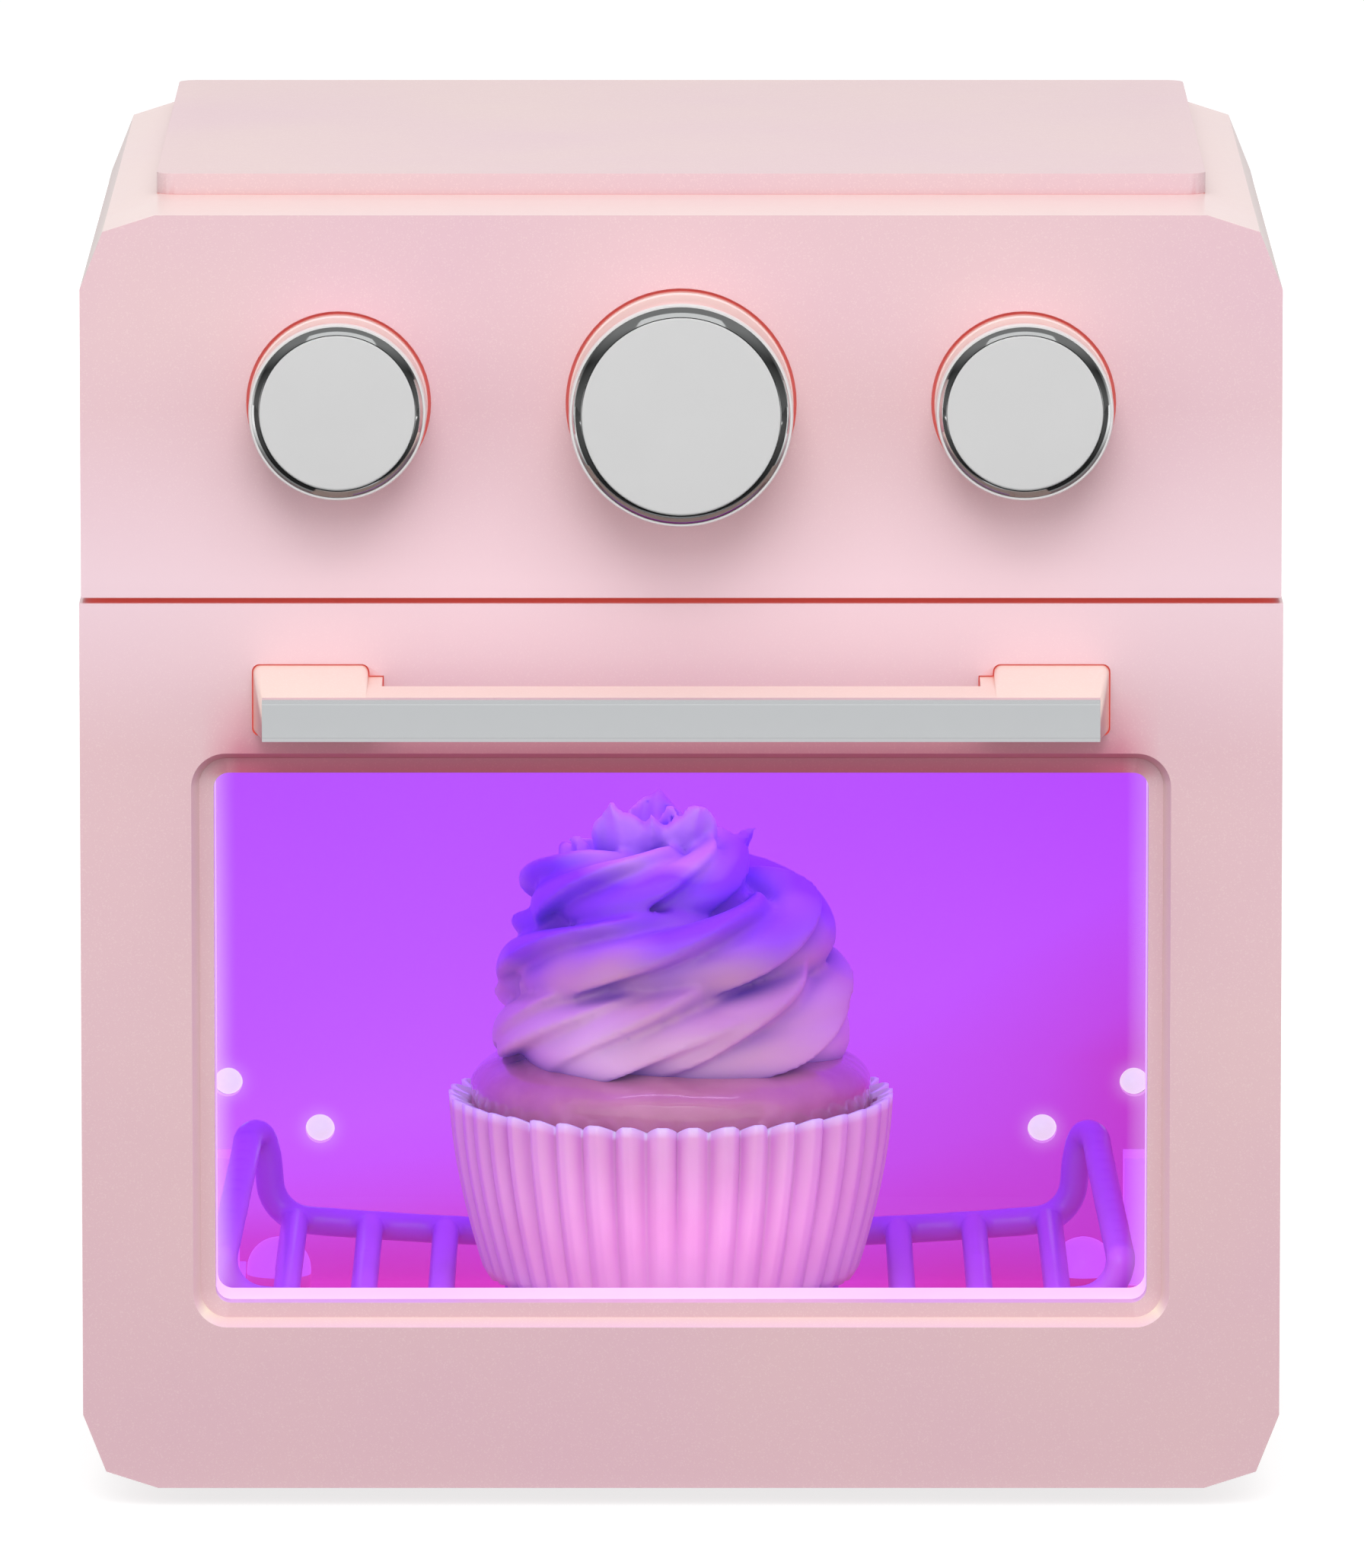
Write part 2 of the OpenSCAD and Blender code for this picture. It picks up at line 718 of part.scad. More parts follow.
// Control board with a few parts soldered on
module control_board() {
    color("#2f6b3c") placed() difference() {
        union() {
            depth(board_y, board_y + board_t) translate([0, knob_z])
                square([control_w, control_h], center = true);
            block([6, board_y + board_t - eps, knob_z - 4], [14, board_y + board_t + 1.4, knob_z + 4]);
            for (x = [-16, -12, -8]) rod_y(x, knob_z + 3, 3, board_y + board_t - eps, board_y + board_t + 4);
        }
        mirrored() for (z = [-1, 1])
            rod_y(control_post_x, knob_z + z * control_post_z, screw_d + screw_hole_fit,
            board_y - past, board_y + board_t + past);
    }
}

module control_board_screws() {
    color("silver") placed() mirrored() for (z = [-1, 1])
        pan_screw(control_post_x, knob_z + z * control_post_z, board_y + board_t, board_screw_l);
}

// Rotary switch on the board, open in the middle for its shaft
module rotary_switch() {
    color("#3a3a40") placed() difference() {
        rod_y(0, knob_z, switch_d, switch_y, board_y);
        rod_y(0, knob_z, shaft_d + 2 * run_fit, switch_y - past, switch_y + shaft_in);
    }
}

// The shaft carries the centre knob and turns in the switch
module switch_shaft() {
    color("#d8d8dc") placed() difference() {
        rod_y(0, knob_z, shaft_d, -big_out + ring_t + 1, switch_y + shaft_in - 0.2);
        block([-shaft_d, -big_out, knob_z + shaft_d / 2 - 0.8], [shaft_d, well_t, knob_z + shaft_d]);
    }
}

// A knob's skirt with a small step near its foot
module skirt_profile(d, out) {
    foot = -well_t + 0.3;
    top = out - ring_t;
    polygon([[0, foot], [d / 2, foot], [d / 2, 1.2], [d / 2 - 0.15, 1.5], [d / 2 - 0.3, top], [0, top]]);
}

module skirt(x, d, out) {
    translate([x, 0, knob_z]) rotate([90, 0, 0]) rotate_extrude($fn = 64) skirt_profile(d, out);
}

// The chromed ring: a round rim and a bevel that ends at the disc
module ring(x, d, out) {
    r = d / 2 - rim_in;
    translate([x, 0, knob_z]) rotate([90, 0, 0]) rotate_extrude($fn = 64)
        polygon([[r - 2 * bevel_w, out - ring_t], [r, out - ring_t], [r + 0.12, out - ring_t + 0.4],
            [r, out - 0.9], [r - 0.3, out - 0.45], [r - bevel_w, out], [r - bevel_w, out - 0.8],
            [r - 2 * bevel_w, out - 0.8]]);
}

module disc(x, d, out) {
    r = d / 2 - rim_in - bevel_w - 0.02;
    rod_y(x, knob_z, 2 * r, -out + 0.05, -out + 0.8);
    rod_y(x, knob_z, 2 * (r - bevel_w), -out + 0.7, -out + ring_t);
}

module centre_knob_skirt() {
    color("#efd0d0") placed() difference() {
        skirt(0, big_d, big_out);
        intersection() {
            rod_y(0, knob_z, shaft_d, -big_out + ring_t + 1, front_t);
            block([-shaft_d, -big_out, knob_z - shaft_d], [shaft_d, front_t, knob_z + shaft_d / 2 - 0.8]);
        }
    }
}

module centre_knob_ring() {
    color("#d5d7d9") placed() ring(0, big_d, big_out);
}

module centre_knob_disc() {
    color("#cfcfcf") placed() disc(0, big_d, big_out);
}

module side_knob_skirt(s) {
    color("#efd0d0") placed() difference() {
        union() {
            skirt(s * knob_pitch, small_d, small_out);
            rod_y(s * knob_pitch, knob_z, stem_d, 0, stem_end);
        }
        pilot(s * knob_pitch, knob_z, -1, stem_end + past);
    }
}

module side_knob_screw(s) {
    color("silver") placed() {
        rod_y(s * knob_pitch, knob_z, stem_d + 2.6, stem_end, stem_end + 0.8);
        rod_y(s * knob_pitch, knob_z, head_d, stem_end + 0.7, stem_end + 2.2);
        rod_y(s * knob_pitch, knob_z, screw_d, 0, stem_end + 1);
    }
}

module left_knob_skirt() { side_knob_skirt(-1); }
module right_knob_skirt() { side_knob_skirt(1); }
module left_knob_screw() { side_knob_screw(-1); }
module right_knob_screw() { side_knob_screw(1); }
module left_knob_ring() { color("#d5d7d9") placed() ring(-knob_pitch, small_d, small_out); }
module right_knob_ring() { color("#d5d7d9") placed() ring(knob_pitch, small_d, small_out); }
module left_knob_disc() { color("#cfcfcf") placed() disc(-knob_pitch, small_d, small_out); }
module right_knob_disc() { color("#cfcfcf") placed() disc(knob_pitch, small_d, small_out); }

// The space that the door's lower back edge may fill so that it clears the housing as it swings
module swing_space(r) {
    w = door_w;
    block([-w, -past, hinge_z], [w, front_t + past, top_z]);
    block([-w, -past, 0], [w, hinge_y, hinge_z + eps]);
    rod_x(hinge_y, hinge_z, 2 * r, -w, w);
}

module window_shape(grow, r) {
    translate([0, window_mid]) soft_rect(window_w + 2 * grow, window_h + 2 * grow, r);
}

// Door shell: a tray with the stepped window recess, cheeks for the hinge pins and screw posts
module door_shell() {
    color("#e6bfc9") placed() difference() {
        union() {
            difference() {
                intersection() {
                    depth(0, door_t) polygon(door_outline);
                    swing_space(door_swing_r);
                }
                intersection() {
                    depth(wall, door_t + past) polygon(inset(door_outline, wall));
                    swing_space(door_swing_r - wall);
                }
            }
            depth(wall / 2, window_pad_t) window_shape(recess_margin + wall, 3);
            mirrored() {
                for (z = door_post_z) rod_y(door_post_x, z, 2 * post_r, wall / 2, door_t - frame_t);
                block([leg_x - leg_w / 2 - 2, wall / 2, grip_z - leg_h / 2 - 1],
                    [leg_x + leg_w / 2 + 1.5, grip_pad_t, grip_z + leg_h / 2 + 0.5]);
                for (s = [-1, 1]) cheek(ear_x + s * (ear_w / 2 + loose_fit + cheek_t / 2));
            }
        }
        hull() {
            depth(-eps, 0) window_shape(recess_margin, 3.6);
            depth(recess_t - eps, recess_t) window_shape(recess_margin - recess_run, 2.9);
        }
        depth(-past, window_pad_t + past) window_shape(0, window_r);
        mirrored() {
            leg(socket_fit, socket_t + 0.1, 0);
            pilot(door_post_x, door_post_z[0], wall, door_t);
            pilot(door_post_x, door_post_z[1], wall, door_t);
            pilot(door_post_x, door_post_z[2], wall, door_t);
            rod_y(leg_x, grip_z, screw_d + screw_hole_fit, 0, grip_pad_t + past);
            block([ear_x - ear_w / 2 - loose_fit, hinge_y - ear_r - 0.15, 0],
                [ear_x + ear_w / 2 + loose_fit, front_t, hinge_z + ear_r + 0.4]);
            rod_x(hinge_y, hinge_z, pin_d, ear_x - ear_w / 2 - 2 * cheek_t, ear_x + ear_w / 2 + 2 * cheek_t);
        }
    }
}

// A cheek that holds a hinge pin, from the door's bottom wall up past the pin
module cheek(x) {
    intersection() {
        block([x - cheek_t / 2, wall / 2, base_z + wall / 2],
            [x + cheek_t / 2, door_t - frame_t - 0.2, hinge_z + 4]);
        swing_space(door_swing_r - wall / 2);
    }
}

// Door inner frame: closes the door's back, forms the window's sill and holds the pane
module door_inner_frame() {
    color("#ecc6dc") placed() difference() {
        union() {
            intersection() {
                depth(door_t - frame_t, door_t) polygon(inset(door_outline, wall + slip_fit));
                block([-door_w, 0, hinge_z + slip_fit], [door_w, front_t, top_z]);
            }
            depth(window_pad_t, door_t - eps) window_shape(liner_t, window_r + liner_t);
        }
        depth(0, front_t) window_shape(0, window_r);
        depth(pane_back - pane_t, front_t) window_shape(pane_lap, window_r + pane_lap);
        mirrored() {
            for (z = door_post_z) screw_hole(door_post_x, z, door_t, frame_t);
            block([ear_x - ear_w / 2 - loose_fit, 0, 0],
                [ear_x + ear_w / 2 + loose_fit, front_t, hinge_z + ear_r + 0.4]);
        }
    }
}

module window_pane() {
    color([0.9, 0.92, 1, 0.3]) placed() depth(pane_back - pane_t, pane_back)
        window_shape(pane_lap - 0.05, window_r + pane_lap - 0.05);
}

module door_screws() {
    color("silver") placed() mirrored() for (z = door_post_z)
        screw(door_post_x, z, door_t, 8);
}

module hinge_pins() {
    color("#b9bcc0") placed() mirrored()
        rod_x(hinge_y, hinge_z, pin_d, ear_x - ear_w / 2 - loose_fit - cheek_t,
            ear_x + ear_w / 2 + loose_fit + cheek_t);
}

// One leg of the handle, grown by a fit, from its foot at depth y0 to the rail
module leg(grow, y0, reach) {
    w = leg_w + 2 * grow;
    h = leg_h + 2 * grow;
    if (reach == 0) {
        depth(-past, y0) translate([leg_x, grip_z - 0.25]) soft_rect(w, h, 0.8);
        block([leg_x - leg_w / 2 - step_w - grow, -past, grip_z - leg_h / 2 - 0.25 - grow],
            [leg_x, y0, grip_z + rail_h / 2 + grow]);
    } else {
        hull() {
            depth(y0 - eps, y0) translate([leg_x, grip_z - 0.25]) soft_rect(w, h, 0.8);
            depth(0, eps) translate([leg_x, grip_z - 0.25]) soft_rect(w, h, 0.8);
            depth(-reach, -reach + eps) translate([leg_x - (grip_w - rail_w) / 4, grip_z])
                square([leg_w - (grip_w - rail_w) / 2, rail_h], center = true);
        }
        block([leg_x - leg_w / 2 - step_w, -reach, grip_z - rail_h / 2],
            [leg_x - leg_w / 2 + 0.5, y0, grip_z + rail_h / 2]);
    }
}

// Handle bracket: a rail on two legs whose feet sit in the door's sockets
module handle_bracket() {
    color("#f0d2cf") placed() difference() {
        union() {
            mirrored() leg(0, socket_t, grip_out - trim_t);
            block([-rail_w / 2, -grip_out + trim_t, grip_z - rail_h / 2],
                [rail_w / 2, -finger_gap, grip_z + rail_h / 2]);
        }
        mirrored() {
            pilot(leg_x, grip_z, -8, front_t);
            rod_y(leg_x, grip_z, trim_peg_d + 0.04, -grip_out + trim_t - past, -grip_out + trim_t + 3.2);
        }
    }
}

trim_peg_d = 2;

// Chromed trim on the rail's front, with bevelled long edges and two pegs
module handle_trim() {
    bevel = 0.45;
    y0 = -grip_out;
    y1 = y0 + trim_t;
    z0 = grip_z - rail_h / 2;
    z1 = grip_z + rail_h / 2;
    color("#b8bdc0") placed() {
        translate([-rail_w / 2, 0, 0]) rotate([90, 0, 90]) linear_extrude(rail_w)
            polygon([[y1, z0], [y1, z1], [y0 + bevel, z1], [y0, z1 - bevel], [y0, z0 + bevel], [y0 + bevel, z0]]);
        mirrored() rod_y(leg_x, grip_z, trim_peg_d, y1 - eps, y1 + 3);
    }
}

module handle_screws() {
    color("silver") placed() mirrored()
        pan_screw(leg_x, grip_z, grip_pad_t, grip_pad_t + 7);
}

// The rack's outer rod as a closed loop of [point, direction, outward normal], drawn for one side
// and mirrored for the other
function rod_arc(half, y, n) = [for (i = [0:n]) let(
    x = half * (2 * i / n - 1), a = asin(x / sag_r(half)))
    [[x, y, sag_z(x, half)], [cos(a), 0, sin(a)], [0, y == rack_front ? -1 : 1, 0]]];
function bend_arc(half, y) = let(a0 = slope(half)) [for (i = [1:bend_n]) let(
    a = a0 + (90 - a0) * i / bend_n)
    [[half + bend_r * (sin(a) - sin(a0)), y, rack_z + bend_r * (cos(a0) - cos(a))],
        [cos(a), 0, sin(a)], [0, y == rack_front ? -1 : 1, 0]]];
function shoulder(w0, side) = [for (i = [0:shoulder_n]) let(
    a = 90 * (side > 0 ? i : shoulder_n - i) / shoulder_n,
    w = w0 + side * shoulder_r * (1 - cos(a)),
    along = [-sin(arch_turn), cos(arch_turn), 0],
    t = sin(a) * along + [0, 0, side * cos(a)])
    [[leg_front, rack_front, arch_top - shoulder_r + shoulder_r * sin(a)] + w * along, t,
        cross([cos(arch_turn), sin(arch_turn), 0], t)]];
function back_way(q) = [for (i = [len(q) - 1:-1:0]) [q[i][0], -q[i][1], q[i][2]]];
function one_side() = concat(bend_arc(half_front, rack_front), shoulder(0, 1), shoulder(arch_l, -1),
    back_way(bend_arc(half_back, rack_back)));

// A bar from the front rod to the back rod
module bar(x) {
    z0 = sag_z(x, half_front);
    z1 = sag_z(x, half_back);
    translate([x, rack_front, z0]) rotate([-90 + atan((z1 - z0) / (rack_back - rack_front)), 0, 0])
        cylinder(r = rod_r - bar_less, h = rack_back - rack_front, $fn = 24);
}

// Rack: one rod bent into a loop with a raised arch at each side, and bars between front and back
module rack() {
    side = one_side();
    left = [for (i = [len(side) - 1:-1:0]) let(e = side[i])
        [[-e[0][0], e[0][1], e[0][2]], [e[1][0], -e[1][1], -e[1][2]], [-e[2][0], e[2][1], e[2][2]]]];
    loop = concat(rod_arc(half_front, rack_front, 10), side, back_way(rod_arc(half_back, rack_back, 10)), left);
    n = rod_n;
    m = len(loop);
    points = [for (e = loop) let(v = cross(e[1], e[2])) for (k = [0:n - 1])
        e[0] + rod_r * (cos(360 * k / n) * e[2] + sin(360 * k / n) * v)];
    faces = [for (i = [0:m - 1], k = [0:n - 1]) let(a = i * n, b = ((i + 1) % m) * n, l = (k + 1) % n)
        each [[a + k, b + k, a + l], [a + l, b + k, b + l]]];
    color("#a878f0") placed() translate([rack_x, 0, 0]) {
        polyhedron(points = points, faces = faces);
        for (i = [0:bar_n - 1]) bar((i - (bar_n - 1) / 2) * bar_pitch);
    }
}

// A pleated outline whose ridges reach radius r
function pleats(r) = [for (i = [0:4 * pleat_n - 1])
    let(a = 360 * i / (4 * pleat_n), side = i % 4 < 2 ? 1 : -1,
        q = r - pleat_t / 2 + pleat_t / 2 * side * (i % 2 == 0 ? 1 : 0.9))
    [q * cos(a), q * sin(a)]];

// The liner's outside moved inward by t
module pleated_cup(t) {
    linear_extrude(cup_h, scale = cup_top_d / cup_base_d) polygon(pleats(cup_base_d / 2 - t));
}

// Pleated paper liner of the cupcake
module cupcake_liner() {
    color("#e79be6") placed() translate([cup_x, cup_y, cup_z]) difference() {
        pleated_cup(0);
        translate([0, 0, cup_base_t]) pleated_cup(paper_t);
    }
}

// Cake with a domed top that stands a little above the liner
module cupcake_cake() {
    r0 = cup_base_d / 2 - pleat_t - paper_t - 0.4;
    r1 = min(cake_d / 2, cup_top_d / 2 - pleat_t - paper_t - 0.4);
    z1 = cup_h - 0.5;
    z2 = cake_top - cup_z;
    color("#b9784f") placed() translate([cup_x, cup_y, cup_z]) rotate_extrude()
        polygon(concat([[0, cup_base_t], [r0, cup_base_t], [r1, z1]],
            [for (a = [15:15:75]) [r1 - 5 * (1 - cos(a)), z1 + (z2 - z1) * sin(a)]], [[0, z2]]));
}

// One piped tier with lobes that lean round as they rise
module tier(d, z, h, top_scale, lobes, turn) {
    r = d / 2;
    translate([0, 0, z]) linear_extrude(h, twist = turn, scale = top_scale, slices = 5)
        polygon([for (i = [0:47]) let(a = 360 * i / 48, q = r * (0.94 + 0.06 * cos(lobes * a)))
            [q * cos(a), q * sin(a)]]);
}

// Piped frosting in three tiers and a petalled tip
module cupcake_frosting() {
    z0 = cake_top - cup_z - 0.01;
    h = frosting_h - (z0 - cup_h);
    color("#a45cf0") placed() translate([cup_x, cup_y, cup_z]) {
        tier(frosting_d, z0, h * 0.38, 0.93, 7, 30);
        tier(frosting_d * 0.95, z0 + h * 0.36, h * 0.3, 0.8, 7, 30);
        translate([-1.6, 0, 0]) tier(frosting_d * 0.78, z0 + h * 0.62, h * 0.22, 0.72, 6, 25);
        translate([-2.4, 0, 0]) tier(frosting_d * 0.46, z0 + h * 0.8, h * 0.2, 0.6, 5, 25);
    }
}

// Battery holder: a tray that opens to the back cover's opening
module battery_holder() {
    color("#3d3a40") placed() difference() {
        depth(holder_y, cover_y) translate([0, holder_z]) square([holder_w, holder_h], center = true);
        depth(holder_y + holder_wall, cover_y + past) translate([0, holder_z])
            square([holder_in_w, holder_in_h], center = true);
    }
}

module cell_places() {
    for (i = [0:cell_n - 1]) translate([0, 0, holder_z + (i - (cell_n - 1) / 2) * cell_pitch]) children();
}

cell_y = holder_y + holder_wall + cell_d / 2 + 0.1;

module battery_cells() {
    color("#c9b037") placed() cell_places() rod_x(cell_y, 0, cell_d, -cell_l / 2, cell_l / 2);
}

module battery_contacts() {
    color("#d9d9d9") placed() cell_places() mirrored()
        block([cell_l / 2, cell_y - contact_w / 2, -contact_w / 2],
            [cell_l / 2 + contact_t, cell_y + contact_w / 2, contact_w / 2]);
}

// A tube of n-sided rings swept along points
function tangent(p, i) = unit(p[min(i + 1, len(p) - 1)] - p[max(i - 1, 0)]);
function ring_at(p, i, r, n) = let(
    t = tangent(p, i),
    u = unit(cross(t, [1, 0.01, 0.02])),
    v = cross(t, u))
    [for (k = [0:n - 1]) p[i] + r * (cos(360 * k / n) * u + sin(360 * k / n) * v)];

module tube(p, d) {
    n = 8;
    m = len(p);
    points = [for (i = [0:m - 1]) each ring_at(p, i, d / 2, n)];
    sides = [for (i = [0:m - 2], k = [0:n - 1]) each [
        [i * n + k, (i + 1) * n + k, i * n + (k + 1) % n],
        [i * n + (k + 1) % n, (i + 1) * n + k, (i + 1) * n + (k + 1) % n]]];
    polyhedron(points = points, faces = concat([[for (k = [0:n - 1]) k]], sides,
        [[for (k = [n - 1:-1:0]) (m - 1) * n + k]]));
}

// Two leads from the battery holder forward to the control board
module battery_leads() {
    y0 = board_y + board_t;
    y1 = holder_y;
    color("#b03a3a") placed() for (s = [-1, 1])
        tube([for (i = [0:12]) let(k = i / 12)
            [s * 3 - 6, y0 + (y1 - y0) * k, knob_z - 10 + (holder_z - knob_z + 10) * (3 * k * k - 2 * k * k * k)
                - 3 * sin(180 * k)]], lead_d);
}

// Two leads from the control board over the cavity and down behind it to the LED board
module led_leads() {
    y0 = board_y + board_t;
    y1 = led_board_y + board_t;
    x0 = control_w / 2 - 6;
    z1 = led_board_z + led_board_h / 2 - 3;
    color("#303036") placed() for (s = [0, 1])
        tube(lead_route(x0 - 2.4 * s, holder_w / 2 + 9 - 2.4 * s, y0, y1, knob_z, z1), lead_d);
}

function lead_route(x0, x1, y0, y1, z0, z1) = let(
    bend = 4, yb = cover_y - 3, c = yb - bend)
    concat(
        [for (i = [0:8]) let(k = i / 8) [x0 + (x1 - x0) * (3 * k * k - 2 * k * k * k), y0 + (c - y0) * k, z0]],
        [for (a = [15:15:90]) [x1, c + bend * sin(a), z0 - bend * (1 - cos(a))]],
        [for (i = [1:6]) [x1, yb, z0 - bend + (z1 - z0 + 2 * bend) * i / 6]],
        [for (a = [15:15:90]) [x1, yb - (yb - y1) * (1 - cos(a)), z1 + bend - bend * sin(a)]]);

housing();
control_panel();
top_plate();
back_cover();
battery_door();
battery_door_screw();
back_screws();
panel_screws();
rubber_feet();
cavity_liner();
liner_screws();
leds();
led_board();
led_board_screws();
control_board();
control_board_screws();
rotary_switch();
switch_shaft();
battery_holder();
battery_cells();
battery_contacts();
battery_leads();
led_leads();
centre_knob_skirt();
centre_knob_ring();
centre_knob_disc();
left_knob_skirt();
left_knob_ring();
left_knob_disc();
left_knob_screw();
right_knob_skirt();
right_knob_ring();
right_knob_disc();
right_knob_screw();
door_shell();
door_inner_frame();
window_pane();
door_screws();
hinge_pins();
handle_bracket();
handle_trim();
handle_screws();
rack();
cupcake_liner();
cupcake_cake();
cupcake_frosting();
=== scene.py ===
import bpy
import bmesh
import math
import random
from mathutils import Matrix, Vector, noise


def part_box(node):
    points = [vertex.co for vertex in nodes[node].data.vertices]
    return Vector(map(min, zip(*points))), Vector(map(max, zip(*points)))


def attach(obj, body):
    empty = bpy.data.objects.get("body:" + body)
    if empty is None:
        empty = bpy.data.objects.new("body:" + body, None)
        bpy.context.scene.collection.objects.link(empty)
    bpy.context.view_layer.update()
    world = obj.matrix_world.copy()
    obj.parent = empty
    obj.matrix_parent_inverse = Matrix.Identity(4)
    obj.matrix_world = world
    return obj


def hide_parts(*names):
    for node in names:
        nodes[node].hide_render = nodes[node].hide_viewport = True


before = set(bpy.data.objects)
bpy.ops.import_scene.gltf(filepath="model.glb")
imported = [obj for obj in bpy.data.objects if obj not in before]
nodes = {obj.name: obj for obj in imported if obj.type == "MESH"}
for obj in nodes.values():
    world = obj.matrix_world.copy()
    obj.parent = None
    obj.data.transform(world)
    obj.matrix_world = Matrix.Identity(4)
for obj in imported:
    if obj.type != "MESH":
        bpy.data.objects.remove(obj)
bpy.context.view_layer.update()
MM = 0.001
random.seed(11)
scene = bpy.context.scene
scene.view_settings.view_transform = "Standard"


def box_mm(name):
    """Low and high corner of a CAD node's box, in millimetres."""
    return [[round(v / MM, 3) for v in corner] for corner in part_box(name)]


def middle(name, axis):
    """Middle of a CAD node's box along one axis, in millimetres."""
    low, high = box_mm(name)
    return round((low[axis] + high[axis]) / 2, 3)


# Depth from the front faces back to the middle of the frame
Y_MID = -box_mm("control_panel")[0][1]


def point(x, y, z):
    """A point given in millimetres, with depth counted from the front faces."""
    return Vector((x * MM, (y - Y_MID) * MM, z * MM))


# Camera: the photo's slight downward look, from 1.85 m, at the middle of the front
PITCH = math.radians(8.631)
CAMERA_FAR = 1850.0
LOOK_X = 0.09
LOOK_Z = 76.7
LENS = 407.3
SENSOR = 36


def studio_camera():
    data = bpy.data.cameras.new("camera")
    data.lens = LENS
    data.sensor_width = SENSOR
    data.clip_start = 0.05
    data.clip_end = 50
    camera = bpy.data.objects.new("camera", data)
    camera.location = point(LOOK_X, -CAMERA_FAR * math.cos(PITCH), LOOK_Z + CAMERA_FAR * math.sin(PITCH))
    camera.rotation_euler = (math.pi / 2 - PITCH, 0, 0)
    scene.collection.objects.link(camera)
    scene.camera = camera


studio_camera()


# Materials

class Nodes:
    """Short calls for building a node tree."""

    def __init__(self, tree):
        self.tree = tree
        tree.nodes.clear()

    def node(self, kind, **props):
        made = self.tree.nodes.new(kind)
        for key, value in props.items():
            setattr(made, key, value)
        return made

    def link(self, source, socket):
        self.tree.links.new(source, socket)

    def put(self, value, socket):
        """Writes a number or a colour on the socket, or links an output to it."""
        if isinstance(value, (int, float)):
            socket.default_value = value
        elif isinstance(value, tuple):
            socket.default_value = (*value, 1)
        else:
            self.link(value, socket)

    def coords(self, kind="Object"):
        return self.node("ShaderNodeTexCoord").outputs[kind]

    def split(self, vector):
        """The x, y and z of a vector."""
        parts = self.node("ShaderNodeSeparateXYZ")
        self.link(vector, parts.inputs[0])
        return parts.outputs

    def noise(self, scale, detail=2.0):
        made = self.node("ShaderNodeTexNoise")
        made.inputs["Scale"].default_value = scale
        made.inputs["Detail"].default_value = detail
        self.link(self.coords(), made.inputs["Vector"])
        return made.outputs["Fac"]

    def ramp(self, fac, stops):
        made = self.node("ShaderNodeValToRGB")
        elements = made.color_ramp.elements
        while len(elements) < len(stops):
            elements.new(0.5)
        for element, (position, color) in zip(elements, stops):
            element.position = position
            element.color = (*color, 1)
        self.link(fac, made.inputs[0])
        return made.outputs[0]

    def math(self, operation, *terms, clamp=False):
        made = self.node("ShaderNodeMath", operation=operation, use_clamp=clamp)
        for value, socket in zip(terms, made.inputs):
            self.put(value, socket)
        return made.outputs[0]

    def mix(self, fac, a, b, mode="MIX"):
        made = self.node("ShaderNodeMix", data_type="RGBA", blend_type=mode)
        self.put(fac, made.inputs[0])
        self.put(a, made.inputs[6])
        self.put(b, made.inputs[7])
        return made.outputs[2]

    def rise(self, value, start, end):
        """0 at start, 1 at end, straight between them and flat beyond them."""
        return self.math("DIVIDE", self.math("SUBTRACT", value, start), end - start, clamp=True)

    def hump(self, value, crest, reach):
        """1 at the crest and 0 from the reach away."""
        away = self.math("ABSOLUTE", self.math("SUBTRACT", value, crest))
        return self.math("SUBTRACT", 1.0, self.math("DIVIDE", away, reach), clamp=True)

    def within(self, value, low, high):
        """1 between low and high, else 0."""
        return self.math("COMPARE", value, (low + high) / 2, (high - low) / 2)

    def open_share(self, reach):
        """Ambient occlusion: 1 in the open, 0 in a closed gap."""
        occlusion = self.node("ShaderNodeAmbientOcclusion", samples=8)
        occlusion.inputs["Distance"].default_value = reach
        return occlusion.outputs["AO"]


class Mat(Nodes):
    """A material with one Principled shader."""

    def __init__(self, name, color, rough=0.4, metallic=0.0):
        self.material = bpy.data.materials.new(name)
        self.material.use_nodes = True
        super().__init__(self.material.node_tree)
        self.shader = self.node("ShaderNodeBsdfPrincipled")
        self.link(self.shader.outputs[0], self.node("ShaderNodeOutputMaterial").inputs[0])
        self.set(base_color=color, roughness=rough, metallic=metallic)

    def socket(self, words):
        """The shader's socket whose name is written in small letters with underscores."""
        wanted = words.replace("_", " ")
        return next(s for s in self.shader.inputs if s.name.lower() == wanted)

    def set(self, **values):
        for words, value in values.items():
            self.put(value, self.socket(words))

    def bump(self, height, strength, distance):
        made = self.node("ShaderNodeBump")
        made.inputs["Strength"].default_value = strength
        made.inputs["Distance"].default_value = distance
        self.link(height, made.inputs["Height"])
        self.set(normal=made.outputs[0])

    def drift(self, scale, detail, dark, light):
        """A slow change between two tones over the surface."""
        return self.ramp(self.noise(scale, detail), [(0.3, dark), (0.7, light)])


def handle_shade(m, base):
    """A painted lighter band at the seam above the handle, and a painted rosy shadow on the door under it."""
    seam, seam_light_reach = 98 * MM, 18 * MM
    side_end, side_full = 50 * MM, 46 * MM
    foot, head = 76.8 * MM, 86.8 * MM
    x, _, z = m.split(m.coords())
    # Painted light: a paler band along the seam
    base = m.mix(m.hump(z, seam, seam_light_reach), base, (0.87, 0.645, 0.71))
    # Painted shadow of the handle on the door, deep rose just under it and fading upwards, within its width
    beneath = m.rise(m.math("ABSOLUTE", x), side_end, side_full)
    handle_shadow_ramp = m.ramp(m.rise(z, foot, head), [(0.0, (1, 1, 1)), (0.08, (0.85, 0.24, 0.40)),
                                          (0.30, (0.92, 0.50, 0.62)), (0.55, (0.98, 0.76, 0.82)),
                                          (1.0, (1, 1, 1))])
    return m.mix(beneath, base, m.mix(1.0, base, handle_shadow_ramp, "MULTIPLY"))
